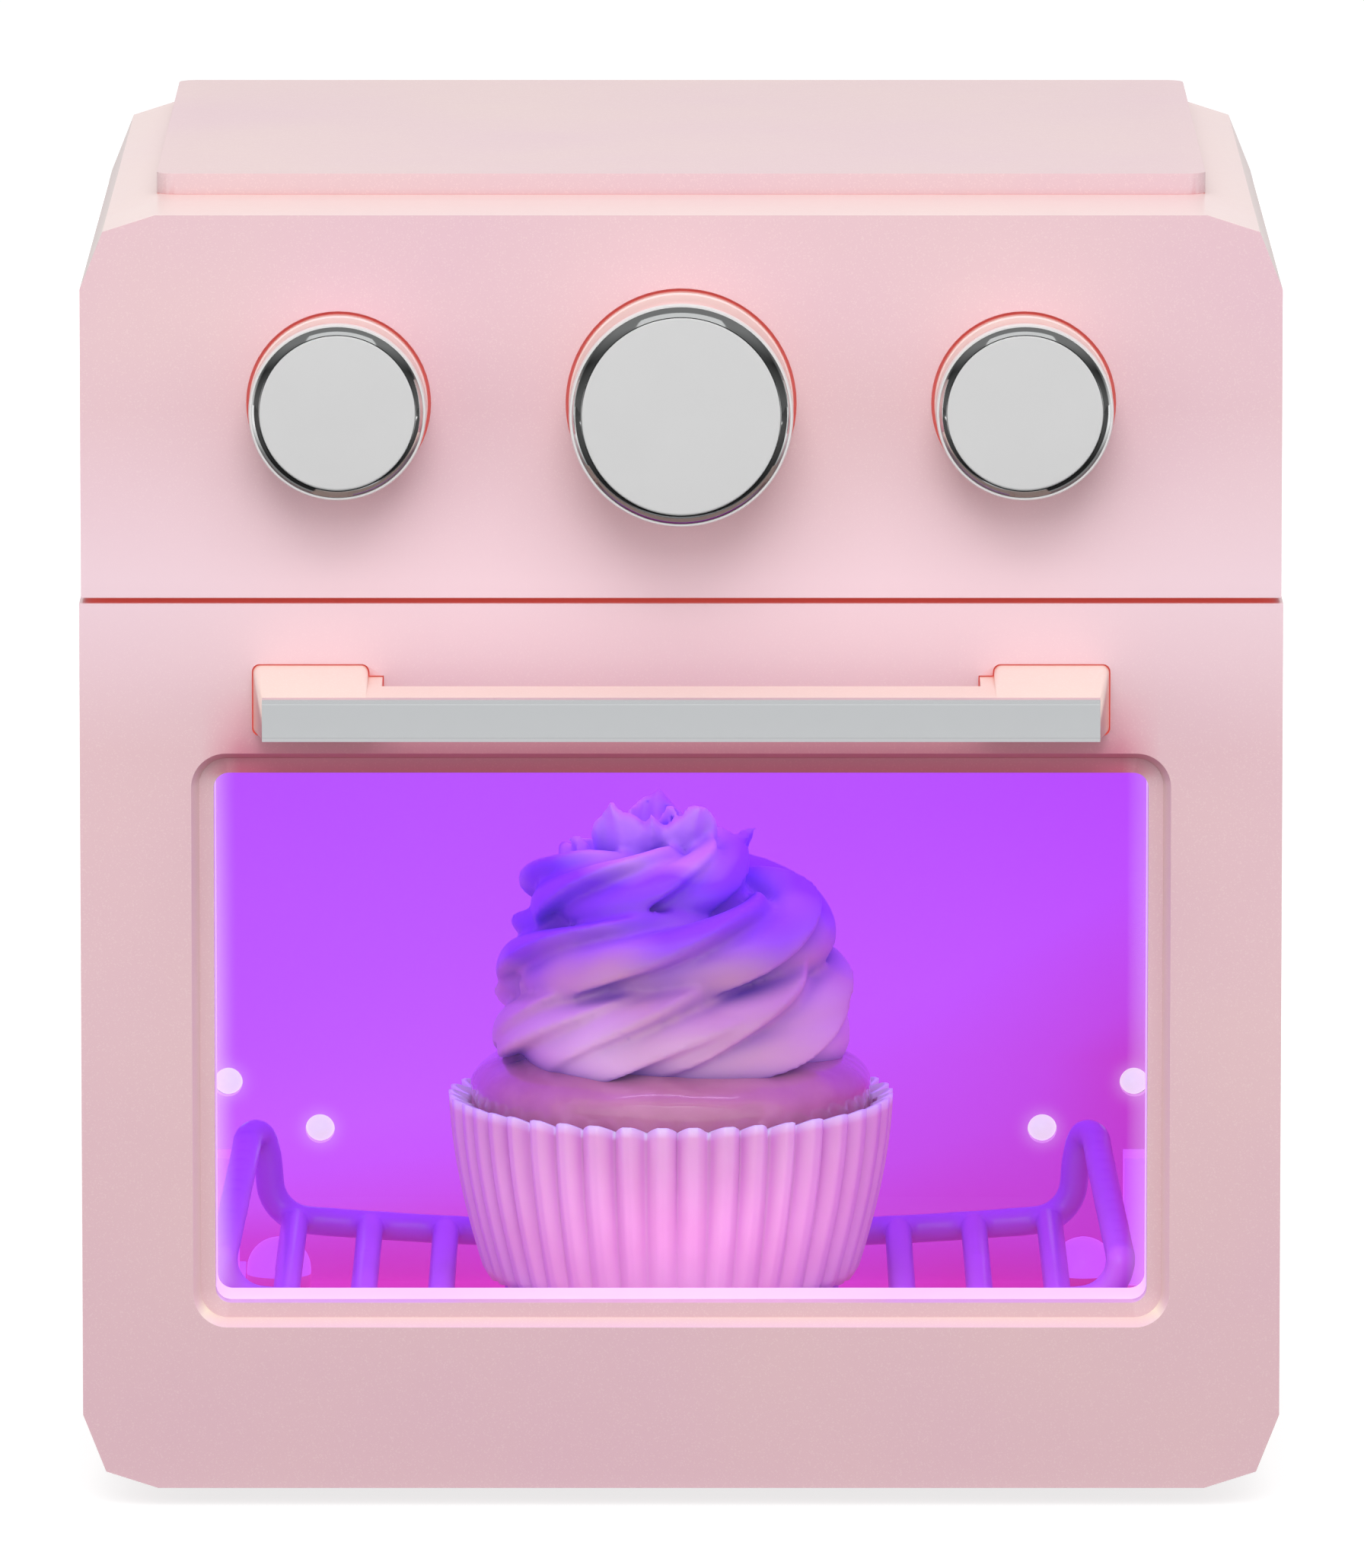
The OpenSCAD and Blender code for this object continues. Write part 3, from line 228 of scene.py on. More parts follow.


# Reach of the painted shade in narrow gaps and folds
GAP_REACH = 1.6 * MM


def pearl(name, color, rough=0.34, flecks=0.16, coat=0.35, cream_sheen=0.5, shade=False):
    """Moulded pearl plastic: fine mica flecks, a painted creamy sheen where it curves away, (with shade)
    painted highlights on fillets that face up, painted rosy shade where it faces down, and painted rosy
    shade with a faint painted glow in its closed gaps."""
    fleck_scale, fleck_free = 8500, 0.9
    # Strength of the painted shade on faces that look down; tilt and spread of the painted fillet highlights
    underside_shade, brim_highlight_up, brim_highlight_spread = -0.75, 0.62, 0.34
    m = Mat(name, color, rough)
    rosier = tuple(c * k for c, k in zip(color, (0.985, 0.965, 1.0)))
    warmer = tuple(min(1, c * k) for c, k in zip(color, (1.01, 1.03, 0.99)))
    base = m.drift(30, 3, rosier, warmer)
    cells = m.node("ShaderNodeTexVoronoi")
    cells.inputs["Scale"].default_value = fleck_scale
    m.link(m.coords(), cells.inputs["Vector"])
    cell = m.node("ShaderNodeSeparateColor")
    m.link(cells.outputs["Color"], cell.inputs[0])
    lit = m.math("MULTIPLY", m.math("GREATER_THAN", cell.outputs[0], fleck_free), flecks)
    base = m.mix(lit, base, (1.0, 0.86, 0.80))
    # Painted creamy sheen where the surface curves away
    turned = m.math("SMOOTH_MIN", m.node("ShaderNodeLayerWeight").outputs["Facing"], 0.9, 0.1)
    base = m.mix(m.math("MULTIPLY", turned, cream_sheen), base, (0.98, 0.81, 0.70))
    if shade:
        base = handle_shade(m, base)
    # Painted rosy shade where the surface faces down
    up = m.split(m.coords("Normal"))[2]
    base = m.mix(m.math("MULTIPLY", up, underside_shade, clamp=True), base, (0.60, 0.16, 0.22))
    # Painted golden highlights on fillets that face partly up
    if shade:
        brim_highlight = m.math("MULTIPLY", m.hump(up, brim_highlight_up, brim_highlight_spread), 0.85)
        base = m.mix(brim_highlight, base, (1.0, 0.90, 0.70))
    # Painted rosy shade in closed gaps, with a faint painted glow given out as emission
    gap_shade = m.math("MULTIPLY_ADD", m.open_share(GAP_REACH), -1.5, 1.2, clamp=True)
    gap_shade = m.math("POWER", gap_shade, 2.0)
    rosy = m.mix(1.0, base, (0.95, 0.45, 0.42), "MULTIPLY")
    m.set(base_color=m.mix(gap_shade, base, rosy),
          roughness=m.math("MULTIPLY_ADD", m.noise(900, 1), 0.08, rough - 0.04),
          coat_weight=coat, coat_roughness=0.12, emission_color=(0.78, 0.17, 0.13),
          emission_strength=m.math("MULTIPLY", m.math("POWER", gap_shade, 4.0), 0.22))
    m.bump(m.noise(1600, 1), 0.05, 0.05 * MM)
    return m.material


def plastic(name, color, rough=0.45, spread=0.06, grain=700, metallic=0.0):
    """Plain moulded plastic with a fine grain and a slight colour drift."""
    m = Mat(name, color, rough, metallic)
    dark = tuple(max(0, c * (1 - spread)) for c in color)
    light = tuple(min(1, c * (1 + spread)) for c in color)
    m.set(base_color=m.drift(60, 3, dark, light))
    m.bump(m.noise(grain, 2), 0.08, 0.1 * MM)
    return m.material


def metal(name, color, rough, scratch=0.03, grain=400):
    m = Mat(name, color, rough, 1.0)
    m.set(roughness=m.math("MULTIPLY_ADD", m.noise(grain, 3), scratch * 2, rough - scratch))
    return m.material


def band_material():
    """Polished band of the knobs: a painted dark reflection where it faces up or down, brightest at the
    sides.
    """
    m = Mat("chrome_band", (0.86, 0.88, 0.88), 0.07, 1.0)
    tilt = m.math("ABSOLUTE", m.split(m.coords("Normal"))[2])
    # Painted dark reflection where the band faces up or down
    dark_reflection = m.math("MULTIPLY_ADD", tilt, 4.0, -0.4, clamp=True)
    m.set(base_color=m.mix(dark_reflection, (0.92, 0.93, 0.93), (0.20, 0.205, 0.205)))
    return m.material


def door_frame_material():
    """Pale pink with a painted lilac glow, which stands for the cavity's light falling on it."""
    m = Mat("inner_pink", (0.86, 0.60, 0.76), 0.4)
    m.set(base_color=m.drift(70, 3, (0.84, 0.57, 0.74), (0.88, 0.63, 0.78)),
          emission_color=(0.75, 0.72, 1.0), emission_strength=0.38)
    return m.material


# Half spacing and height of the outer and the inner pair of lamps in the back wall, and their depth
LAMP_PAIRS = ((49.8, 29.3), (39.7, 24.1))
LAMP_Y = 94

# The cavity's painted light by height: magenta at the floor, violet at the roof
CAVITY_LIGHT = ((8 * MM, (0.60, 0.02, 0.36)), (14 * MM, (0.58, 0.045, 0.60)), (20 * MM, (0.575, 0.075, 0.80)),
                (34 * MM, (0.56, 0.10, 1.0)), (55 * MM, (0.50, 0.085, 1.0)), (86 * MM, (0.45, 0.07, 1.0)))


def cavity_material():
    """Violet liner whose colour is painted light, given out as emission: violet above, magenta below and
    to the right, painted violet light on the raised posts and guides, and a painted glow round each lamp."""
    wall = (0.04, 0.01, 0.10)
    painted_glow_r = 3.6 * MM
    raised_z = (10.5 * MM, 23.5 * MM)
    post_x, post_y = (37.5 * MM, 48.5 * MM), 39 * MM
    guide_x, guide_y = 47.8 * MM, (38 * MM, 45 * MM)
    m = Mat("cavity_violet", wall, 0.42)
    x, y, z = m.split(m.coords())
    wander = m.math("MULTIPLY", m.math("SUBTRACT", m.noise(14, 2), 0.5), 0.02)
    # Painted light leaning: higher up, the right side takes the lower, more magenta tones
    lean = m.math("MULTIPLY", m.math("MULTIPLY", x, 0.35), m.rise(z, 12 * MM, 32 * MM))
    level = m.math("SUBTRACT", m.math("ADD", z, wander), lean)
    low, high = CAVITY_LIGHT[0][0], CAVITY_LIGHT[-1][0]
    tone = m.ramp(m.rise(level, low, high), [((at - low) / (high - low), c) for at, c in CAVITY_LIGHT])
    # Painted shade: darker and pinker towards the right
    tone = m.mix(m.rise(x, 0, 50 * MM), tone, (0.89, 0.62, 0.88), "MULTIPLY")
    # Painted glow round each lamp
    glow = 0.0
    for lamp_x, lamp_z in LAMP_PAIRS:
        for side in (-1, 1):
            away = m.node("ShaderNodeVectorMath", operation="DISTANCE")
            m.link(m.coords(), away.inputs[0])
            away.inputs[1].default_value = point(side * lamp_x, LAMP_Y, lamp_z)
            near = m.rise(away.outputs["Value"], painted_glow_r, 0)
            glow = m.math("ADD", glow, m.math("POWER", near, 2.2))
    # Painted violet light on the raised posts and guides
    aside = m.math("ABSOLUTE", x)
    post = m.math("MULTIPLY", m.within(aside, *post_x), m.math("LESS_THAN", y, post_y))
    post = m.math("MULTIPLY", post, m.within(z, *raised_z))
    guide = m.math("MULTIPLY", m.math("GREATER_THAN", aside, guide_x), m.within(y, *guide_y))
    guide = m.math("MULTIPLY", guide, m.math("LESS_THAN", z, raised_z[1]))
    tone = m.mix(m.math("MAXIMUM", post, guide), tone, (0.62, 0.09, 1.0))
    # Nearly all the colour is painted light, given out as emission over a dark base
    m.set(base_color=m.mix(0.85, tone, wall), emission_strength=0.86,
          emission_color=m.mix(m.math("MULTIPLY", glow, 0.6, clamp=True), tone, (0.9, 0.62, 1.0)))
    m.bump(m.noise(500, 2), 0.06, 0.1 * MM)
    return m.material


def lens_material():
    m = Mat("lamp_lens", (0.3, 0.25, 0.3), 0.3)
    m.set(base_color=m.drift(300, 1, (0.26, 0.22, 0.28), (0.3, 0.26, 0.3)),
          emission_color=(0.92, 0.84, 0.95), emission_strength=0.72)
    return m.material


def pane_material():
    """Clear pane with a painted glow of the cavity's light along its left and right edges."""
    left_start, left_end = -46.5 * MM, -48.9 * MM
    right_start, right_end = 46.8 * MM, 48.8 * MM
    m = Mat("pane_clear", (0.95, 0.94, 1.0), 0.05)
    x = m.split(m.coords())[0]
    # Painted glow of the cavity's light along the left and right edges
    left = m.math("POWER", m.rise(x, left_start, left_end), 2.0)
    edges = m.math("ADD", m.math("MULTIPLY", left, 0.2),
                   m.math("MULTIPLY", m.rise(x, right_start, right_end), 0.1))
    m.set(base_color=m.drift(20, 1, (0.93, 0.92, 1.0), (0.97, 0.96, 1.0)), specular_ior_level=0.3,
          emission_color=(0.86, 0.48, 1.0), emission_strength=0.42, alpha=m.math("ADD", edges, 0.01))
    return m.material


def liner_material():
    """Pink baking case: painted shade deeper in its folds, painted lavender light where it faces up, and a
    faint painted glow.
    """
    m = Mat("liner_pink", (0.86, 0.40, 0.74), 0.42)
    tone = m.drift(90, 3, (0.69, 0.35, 0.60), (0.74, 0.41, 0.66))
    # Painted shade in the folds
    fold = m.math("POWER", m.math("SUBTRACT", 1.0, m.open_share(GAP_REACH), clamp=True), 1.2)
    tone = m.mix(fold, tone, (0.58, 0.16, 0.60))
    # Painted lavender light where the paper faces up
    edge = m.math("MULTIPLY", m.split(m.coords("Normal"))[2], 1.1, clamp=True)
    tone = m.mix(edge, tone, (0.82, 0.72, 1.0))
    # The faint emission is a painted glow
    m.set(base_color=tone, emission_color=tone, emission_strength=0.12, subsurface_weight=0.15,
          subsurface_scale=1.0)
    m.socket("subsurface_radius").default_value = (3 * MM, 1 * MM, 2 * MM)
    return m.material


def cake_material():
    m = Mat("cake_glossy", (0.55, 0.20, 0.36), 0.22)
    m.set(base_color=m.drift(160, 4, (0.50, 0.17, 0.32), (0.60, 0.24, 0.40)), coat_weight=1.0,
          coat_roughness=0.06)
    m.bump(m.noise(420, 3), 0.35, 0.4 * MM)
    return m.material


def frosting_material():
    """Piped icing with painted light by height: pink below, violet higher up and paler on the petals; painted
    shade deeper in its folds, and a faint painted glow.
    """
    foot, head, wander = 40 * MM, 70 * MM, 20 * MM
    fold_shade_reach = 3 * MM
    m = Mat("frosting", (0.72, 0.45, 0.9), 0.42)
    z = m.split(m.coords())[2]
    # Painted light by height: pink below, violet above
    level = m.math("ADD", z, m.math("MULTIPLY", m.math("SUBTRACT", m.noise(75, 1), 0.5), wander))
    tone = m.ramp(m.rise(level, foot, head), [(0.0, (0.80, 0.54, 0.76)), (0.34, (0.62, 0.33, 0.54)),
                                              (0.56, (0.31, 0.07, 0.80)), (0.72, (0.31, 0.07, 0.88)),
                                              (0.84, (0.66, 0.38, 0.80))])
    # Painted shade in the folds
    fold = m.math("SUBTRACT", 1.0, m.open_share(fold_shade_reach), clamp=True)
    tone = m.mix(fold, tone, (0.12, 0.01, 0.55))
    # The faint emission is a painted glow
    m.set(base_color=tone, emission_color=tone, emission_strength=0.08, subsurface_weight=0.2,
          subsurface_scale=1.0, coat_weight=0.2, coat_roughness=0.25)
    m.socket("subsurface_radius").default_value = (2 * MM, 1.5 * MM, 3 * MM)
    m.bump(m.noise(900, 2), 0.12, 0.2 * MM)
    return m.material


SHELL = (0.785, 0.52, 0.57)
shell = pearl("pearl_pink", SHELL)
door_mat = pearl("pearl_door", SHELL, shade=True)
panel_mat = pearl("pearl_panel", (0.785, 0.535, 0.585), shade=True)
skirt_mat = pearl("pearl_skirt", (0.82, 0.59, 0.60), 0.3, 0.25, 0.5)
handle_mat = pearl("pearl_handle", (0.90, 0.69, 0.62), 0.32, 0.5, 0.4)
top_mat = pearl("satin_top", (0.72, 0.53, 0.56), 0.5, 0.15, 0.1, 0.1)
chrome = metal("chrome", (0.86, 0.88, 0.88), 0.05, 0.015)
trim_mat = metal("chrome_trim", (0.66, 0.675, 0.69), 0.1, 0.02)
disc_mat = metal("satin_disc", (0.86, 0.86, 0.86), 0.38, 0.03, 150)
rim_mat = plastic("satin_rim", (0.80, 0.79, 0.79), 0.3, 0.03, 900, metallic=0.35)
band_mat = band_material()
steel = metal("zinc_steel", (0.62, 0.62, 0.63), 0.35, 0.08)
rubber = plastic("foot_rubber", (0.27, 0.25, 0.26), 0.8, 0.1, 1500)
black = plastic("black_plastic", (0.05, 0.05, 0.055), 0.5)
green = plastic("board_green", (0.04, 0.17, 0.07), 0.35)
jacket = plastic("cell_jacket", (0.6, 0.45, 0.09), 0.3)
red_vinyl = plastic("lead_red", (0.45, 0.04, 0.04), 0.45)
black_vinyl = plastic("lead_black", (0.03, 0.03, 0.035), 0.45)
rack_mat = plastic("rack_violet", (0.52, 0.13, 0.82), 0.28, 0.08, 900)
liner_mat = liner_material()
cake_mat = cake_material()
frost_mat = frosting_material()


def dress(material, *names):
    for name in names:
        slots = nodes[name].data.materials
        slots.clear()
        slots.append(material)


dress(shell, "housing", "back_cover", "battery_door")
dress(door_mat, "door_shell")
dress(door_frame_material(), "door_inner_frame")
dress(panel_mat, "control_panel")
dress(skirt_mat, "centre_knob_skirt", "left_knob_skirt", "right_knob_skirt")
dress(handle_mat, "handle_bracket")
dress(top_mat, "top_plate")
dress(chrome, "centre_knob_ring", "left_knob_ring", "right_knob_ring")
dress(disc_mat, "centre_knob_disc", "left_knob_disc", "right_knob_disc")
dress(trim_mat, "handle_trim")
dress(steel, "battery_door_screw", "back_screws", "panel_screws", "liner_screws", "led_board_screws",
      "control_board_screws", "left_knob_screw", "right_knob_screw", "door_screws", "hinge_pins",
      "handle_screws", "battery_contacts", "switch_shaft")
dress(rubber, "rubber_feet")
dress(cavity_material(), "cavity_liner")
dress(lens_material(), "leds")
dress(pane_material(), "window_pane")
dress(green, "led_board", "control_board")
dress(black, "rotary_switch", "battery_holder")
dress(jacket, "battery_cells")
dress(red_vinyl, "battery_leads")
dress(black_vinyl, "led_leads")
dress(rack_mat, "rack")


def soften(name, width, angle=28, segments=3):
    """Rounds a CAD node's edges by modifiers, without a change to its mesh."""
    modifiers = nodes[name].modifiers
    weld = modifiers.new("weld", "WELD")
    weld.merge_threshold = 0.002 * MM
    bevel = modifiers.new("round", "BEVEL")
    bevel.width = width * MM
    bevel.segments = segments
    bevel.limit_method = "ANGLE"
    bevel.angle_limit = math.radians(angle)
    bevel.use_clamp_overlap = True
    modifiers.new("normals", "WEIGHTED_NORMAL").keep_sharp = False


soften("control_panel", 0.35)
soften("door_shell", 0.4)
soften("housing", 0.3)
soften("back_cover", 0.4)
soften("top_plate", 0.45)
soften("handle_bracket", 0.22)
soften("handle_trim", 0.1, 20, 2)
soften("door_inner_frame", 0.3)


# Pieces drawn here in place of plainer solids

def piece(name, verts, faces, body, material, replaced):
    mesh = bpy.data.meshes.new(name)
    mesh.from_pydata([tuple(v) for v in verts], [], faces)
    mesh.update()
    bm = bmesh.new()
    bm.from_mesh(mesh)
    bmesh.ops.recalc_face_normals(bm, faces=bm.faces)
    bm.to_mesh(mesh)
    bm.free()
    made = bpy.data.objects.new(name, mesh)
    scene.collection.objects.link(made)
    mesh.polygons.foreach_set("use_smooth", [True] * len(mesh.polygons))
    mesh.materials.append(material)
    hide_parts(*replaced)
    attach(made, body)
    return made


def use(made, kind, **props):
    modifier = made.modifiers.new(kind.lower(), kind)
    for key, value in props.items():
        setattr(modifier, key, value)


def join(parts):
    """One mesh from several pairs of vertices and faces."""
    verts, faces = [], []
    for some_verts, some_faces in parts:
        first = len(verts)
        verts += some_verts
        faces += [tuple(i + first for i in face) for face in some_faces]
    return verts, faces


def skin(rows, n):
    """Faces between rows of vertices; a row holds n of them, or one where the shape closes."""
    faces = []
    for a, b in zip(rows, rows[1:]):
        for k in range(n):
            corners = [a[k % len(a)], a[(k + 1) % len(a)], b[(k + 1) % len(b)], b[k % len(b)]]
            face = [v for i, v in enumerate(corners) if v not in corners[:i]]
            if len(face) > 2:
                faces.append(face)
    return faces


def round_grid(first, rows, n):
    """Faces of rows of n vertices each, closed round every row, counted from the first vertex."""
    return [(first + i * n + k, first + i * n + (k + 1) % n,
             first + (i + 1) * n + (k + 1) % n, first + (i + 1) * n + k)
            for i in range(rows) for k in range(n)]


def lathe(name, x, z, profile, body, material, replaced, n=128):
    """Turns a profile of (radius, reach in front) about a knob's axis; radius 0 closes it."""
    verts, rows = [], []
    for r, out in profile:
        count = n if r else 1
        rows.append(list(range(len(verts), len(verts) + count)))
        for k in range(count):
            a = 2 * math.pi * k / n
            verts.append(point(x + r * math.cos(a), -out, z + r * math.sin(a)))
    if profile[0][0] and profile[-1][0]:
        rows.append(rows[0])
    turned = piece(name, verts, skin(rows, n), body, material, replaced)
    turned.data.set_sharp_from_angle(angle=math.radians(32))


def arc(r, out, bend, start, end, n):
    """Points of a profile's rounding about (r, out), from one angle to another."""
    angles = [math.radians(start + (end - start) * i / n) for i in range(n + 1)]
    return [(r + bend * math.cos(a), out + bend * math.sin(a)) for a in angles]


# Knobs: slopes of the polished band from its crest outwards, in degrees, and its width as a share of
# the knob's radius
BAND_SLOPES = (32, 36, 41, 47, 54)
BAND_SHARE = 0.078

# Depth of the ring and of the disc's bed in it, and the radii of the stems behind the panel
RING_T = 1.9
DISC_BED = 0.8
SHAFT_SLEEVE_R = 2.0
SIDE_STEM_R = 3.0


def knob(side):
    """The pieces of one knob: pink skirt, satin rim, polished band and the disc in its face."""
    name = side + "_knob"
    skirt_low, skirt_high = box_mm(name + "_skirt")
    x, z = middle(name + "_skirt", 0), middle(name + "_skirt", 2)
    r = round((skirt_high[0] - skirt_low[0]) / 2, 3)
    reach = round(-Y_MID - box_mm(name + "_ring")[0][1], 3)
    stem_end = round(-Y_MID - skirt_high[1], 3)
    stem_r = SHAFT_SLEEVE_R if side == "centre" else SIDE_STEM_R
    rim_r, seat, foot = r - 0.2, reach - RING_T, -1.1

    skirt = [(0, seat - 0.05), (rim_r - 0.15, seat - 0.05), (r - 0.32, seat), (r - 0.16, 1.5)]
    skirt += arc(r - 0.35, 1.1, 0.33, 60, -10, 5)
    skirt += [(r - 0.02, 0.6), (r, foot), (stem_r, foot), (stem_r, stem_end - 0.01), (0, stem_end - 0.01)]
    lathe(name + "_skirt_turned", x, z, skirt, name, skirt_mat, [name + "_skirt"])

    inner_r = rim_r - BAND_SHARE * r - 0.2
    step = (rim_r - 0.18 - inner_r) / len(BAND_SLOPES)
    band = [(inner_r, reach - 0.02)]
    for slope in BAND_SLOPES:
        band.append((band[-1][0] + step, band[-1][1] - step * math.tan(math.radians(slope))))
    edge_r, edge = band[-1]
    back = (edge_r - 0.1, edge - 0.4)
    rim = [(rim_r, seat + 0.05), (rim_r + 0.12, seat + 0.3), (rim_r + 0.12, edge - 0.25), (rim_r, edge),
           band[-1], back, (rim_r - 0.2, seat + 0.05)]
    lathe(name + "_rim_turned", x, z, rim, name, rim_mat, [name + "_ring"])

    hollow_r, bed = rim_r - 2.2, reach - DISC_BED
    ring = band[::-1] + [(inner_r - 0.02, bed), (hollow_r, bed), (hollow_r, seat + 0.02),
                         (edge_r - 0.1, seat + 0.02), back]
    lathe(name + "_ring_turned", x, z, ring, name, band_mat, [name + "_ring"])

    disc_r, face = inner_r - 0.04, reach - 0.1
    disc = [(0, face), (disc_r * 0.5, face + 0.005), (disc_r - 0.3, face)]
    disc += arc(disc_r - 0.15, face - 0.15, 0.15, 80, 0, 4)
    disc += [(disc_r, bed + 0.02), (disc_r - 1.0, bed), (disc_r - 1.0, seat + 0.02), (0, seat + 0.02)]
    lathe(name + "_disc_turned", x, z, disc, name, disc_mat, [name + "_disc"])


for knob_side in ("centre", "left", "right"):
    knob(knob_side)


def rod(points, radius, closed=False, n=16):
    """A round bar along points in millimetres."""
    path = [Vector(p) for p in points]
    count = len(path)
    along = [((path[(i + 1) % count] if closed or i + 1 < count else path[i]) -
              (path[i - 1] if closed or i else path[i])).normalized() for i in range(count)]
    across = [along[0].orthogonal().normalized()]
    for before, now in zip(along, along[1:]):
        carried = before.rotation_difference(now) @ across[-1]
        across.append((carried - now * carried.dot(now)).normalized())
    twist = 0.0
    if closed:
        end = along[-1].rotation_difference(along[0]) @ across[-1]
        twist = math.atan2(end.cross(across[0]).dot(along[0]), end.dot(across[0]))
    verts = []
    for i, (centre, ahead, u) in enumerate(zip(path, along, across)):
        v = ahead.cross(u)
        for k in range(n):
            a = 2 * math.pi * k / n + twist * i / count
            verts.append(centre + radius * (math.cos(a) * u + math.sin(a) * v))
    faces = round_grid(0, count - 1, n)
    if closed:
        last = (count - 1) * n
        faces += [(last + k, last + (k + 1) % n, (k + 1) % n, k) for k in range(n)]
    else:
        faces.append(tuple(reversed(range(n))))
        faces.append(tuple(range((count - 1) * n, count * n)))
    return verts, faces


# Rack: the solid's rods with moulded fillets where they meet. The front and the back rod hang a
# little in the middle and turn up at the sides.
SOLID_ROD_R = 1.5
ROD_R = 1.6
SAG = 1.67
BEND = 4.5
RACK_BARS = 11
BAR_PITCH = 8.24
BEND_STEPS = 8
ROD_STEPS = 24
rack_low, rack_high = box_mm("rack")
RACK_X = middle("rack", 0)
RACK_Z = round(rack_low[2] + SOLID_ROD_R + SAG, 3)
FRONT = round(rack_low[1] + Y_MID + SOLID_ROD_R, 3)
BACK = round(rack_high[1] + Y_MID - SOLID_ROD_R, 3)
HALF_BACK, HALF_FRONT = 43.95 - BEND * 0.92, 47.8 - BEND * 0.92


def rod_level(x, half):
    """Height of a sagging rod at x."""
    sag_r = (half * half + SAG * SAG) / (2 * SAG)
    return RACK_Z - SAG + sag_r - math.sqrt(sag_r ** 2 - x * x)


def upturn(half, y):
    """The bend from the end of a sagging rod up to the vertical."""
    start = 2 * math.atan(SAG / half)
    angles = [start + (math.pi / 2 - start) * i / BEND_STEPS for i in range(1, BEND_STEPS + 1)]
    return [(half + BEND * (math.sin(a) - math.sin(start)), y,
             RACK_Z + BEND * (math.cos(start) - math.cos(a))) for a in angles]


def side_rail(x_front, x_back):
    """Side rail from the front corner up to its rounded back end: a few points, rounded by halving."""
    foot, crown = 20.9, 26.3
    route = [Vector((x_front, FRONT, foot)), Vector((x_front - 0.05, FRONT + 1.2, foot + 0.2)),
             Vector((x_front - 1.5, BACK - 8.0, crown - 0.9)), Vector((x_front - 1.6, BACK - 3.5, crown)),
             Vector((x_back + 0.9, BACK, crown - 0.2)), Vector((x_back + 0.2, BACK, crown - 2.8)),
             Vector((x_back, BACK, foot))]
    for _ in range(3):
        halved = [p.lerp(q, share) for p, q in zip(route, route[1:]) for share in (0.25, 0.75)]
        route = [route[0]] + halved[1:-1] + [route[-1]]
    return [tuple(p) for p in route]


def rack_piece():
    front_turn, back_turn = upturn(HALF_FRONT, FRONT), upturn(HALF_BACK, BACK)
    side = front_turn + side_rail(front_turn[-1][0], back_turn[-1][0]) + back_turn[::-1]
    shares = [i * 2 / ROD_STEPS - 1 for i in range(ROD_STEPS + 1)]
    loop = [(HALF_FRONT * s, FRONT, rod_level(HALF_FRONT * s, HALF_FRONT)) for s in shares]
    loop += side + [(-HALF_BACK * s, BACK, rod_level(HALF_BACK * s, HALF_BACK)) for s in shares]
    loop += [(-x, y, z) for x, y, z in reversed(side)]
    parts = [rod([(x + RACK_X, y, z) for x, y, z in loop], ROD_R, True)]
    for i in range(RACK_BARS):
        x = (i - RACK_BARS // 2) * BAR_PITCH
        front_z, back_z = rod_level(x, HALF_FRONT), rod_level(x, HALF_BACK)
        parts.append(rod([(x + RACK_X, FRONT + (BACK - FRONT) * share, front_z + (back_z - front_z) * share)
                          for share in (0, 0.5, 1)], ROD_R - 0.1))
    verts, faces = join(parts)
    made = piece("rack_moulded", [point(*v) for v in verts], faces, "rack", rack_mat, ["rack"])
    use(made, "REMESH", mode="VOXEL", voxel_size=0.42 * MM, use_smooth_shade=True)
    use(made, "SMOOTH", factor=0.5, iterations=4)


rack_piece()


# Cupcake: its middle and base, then the case's height below its scallops, radius at the foot and
# flare to the rim
CUP_X = middle("cupcake_liner", 0)
CUP_Y = round(middle("cupcake_liner", 1) + Y_MID, 3)
CUP_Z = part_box("cupcake_liner")[0].z / MM
CUP_H = 19.4
CUP_FOOT_R, CUP_FLARE = 19.7, 3.55
PAPER_T = 0.5
PLEATS = 42
PLEAT_STEPS = 16


def cup(x, y, z):
    """A point counted from the middle of the cupcake's base."""
    return point(CUP_X + x, CUP_Y + y, CUP_Z + z)


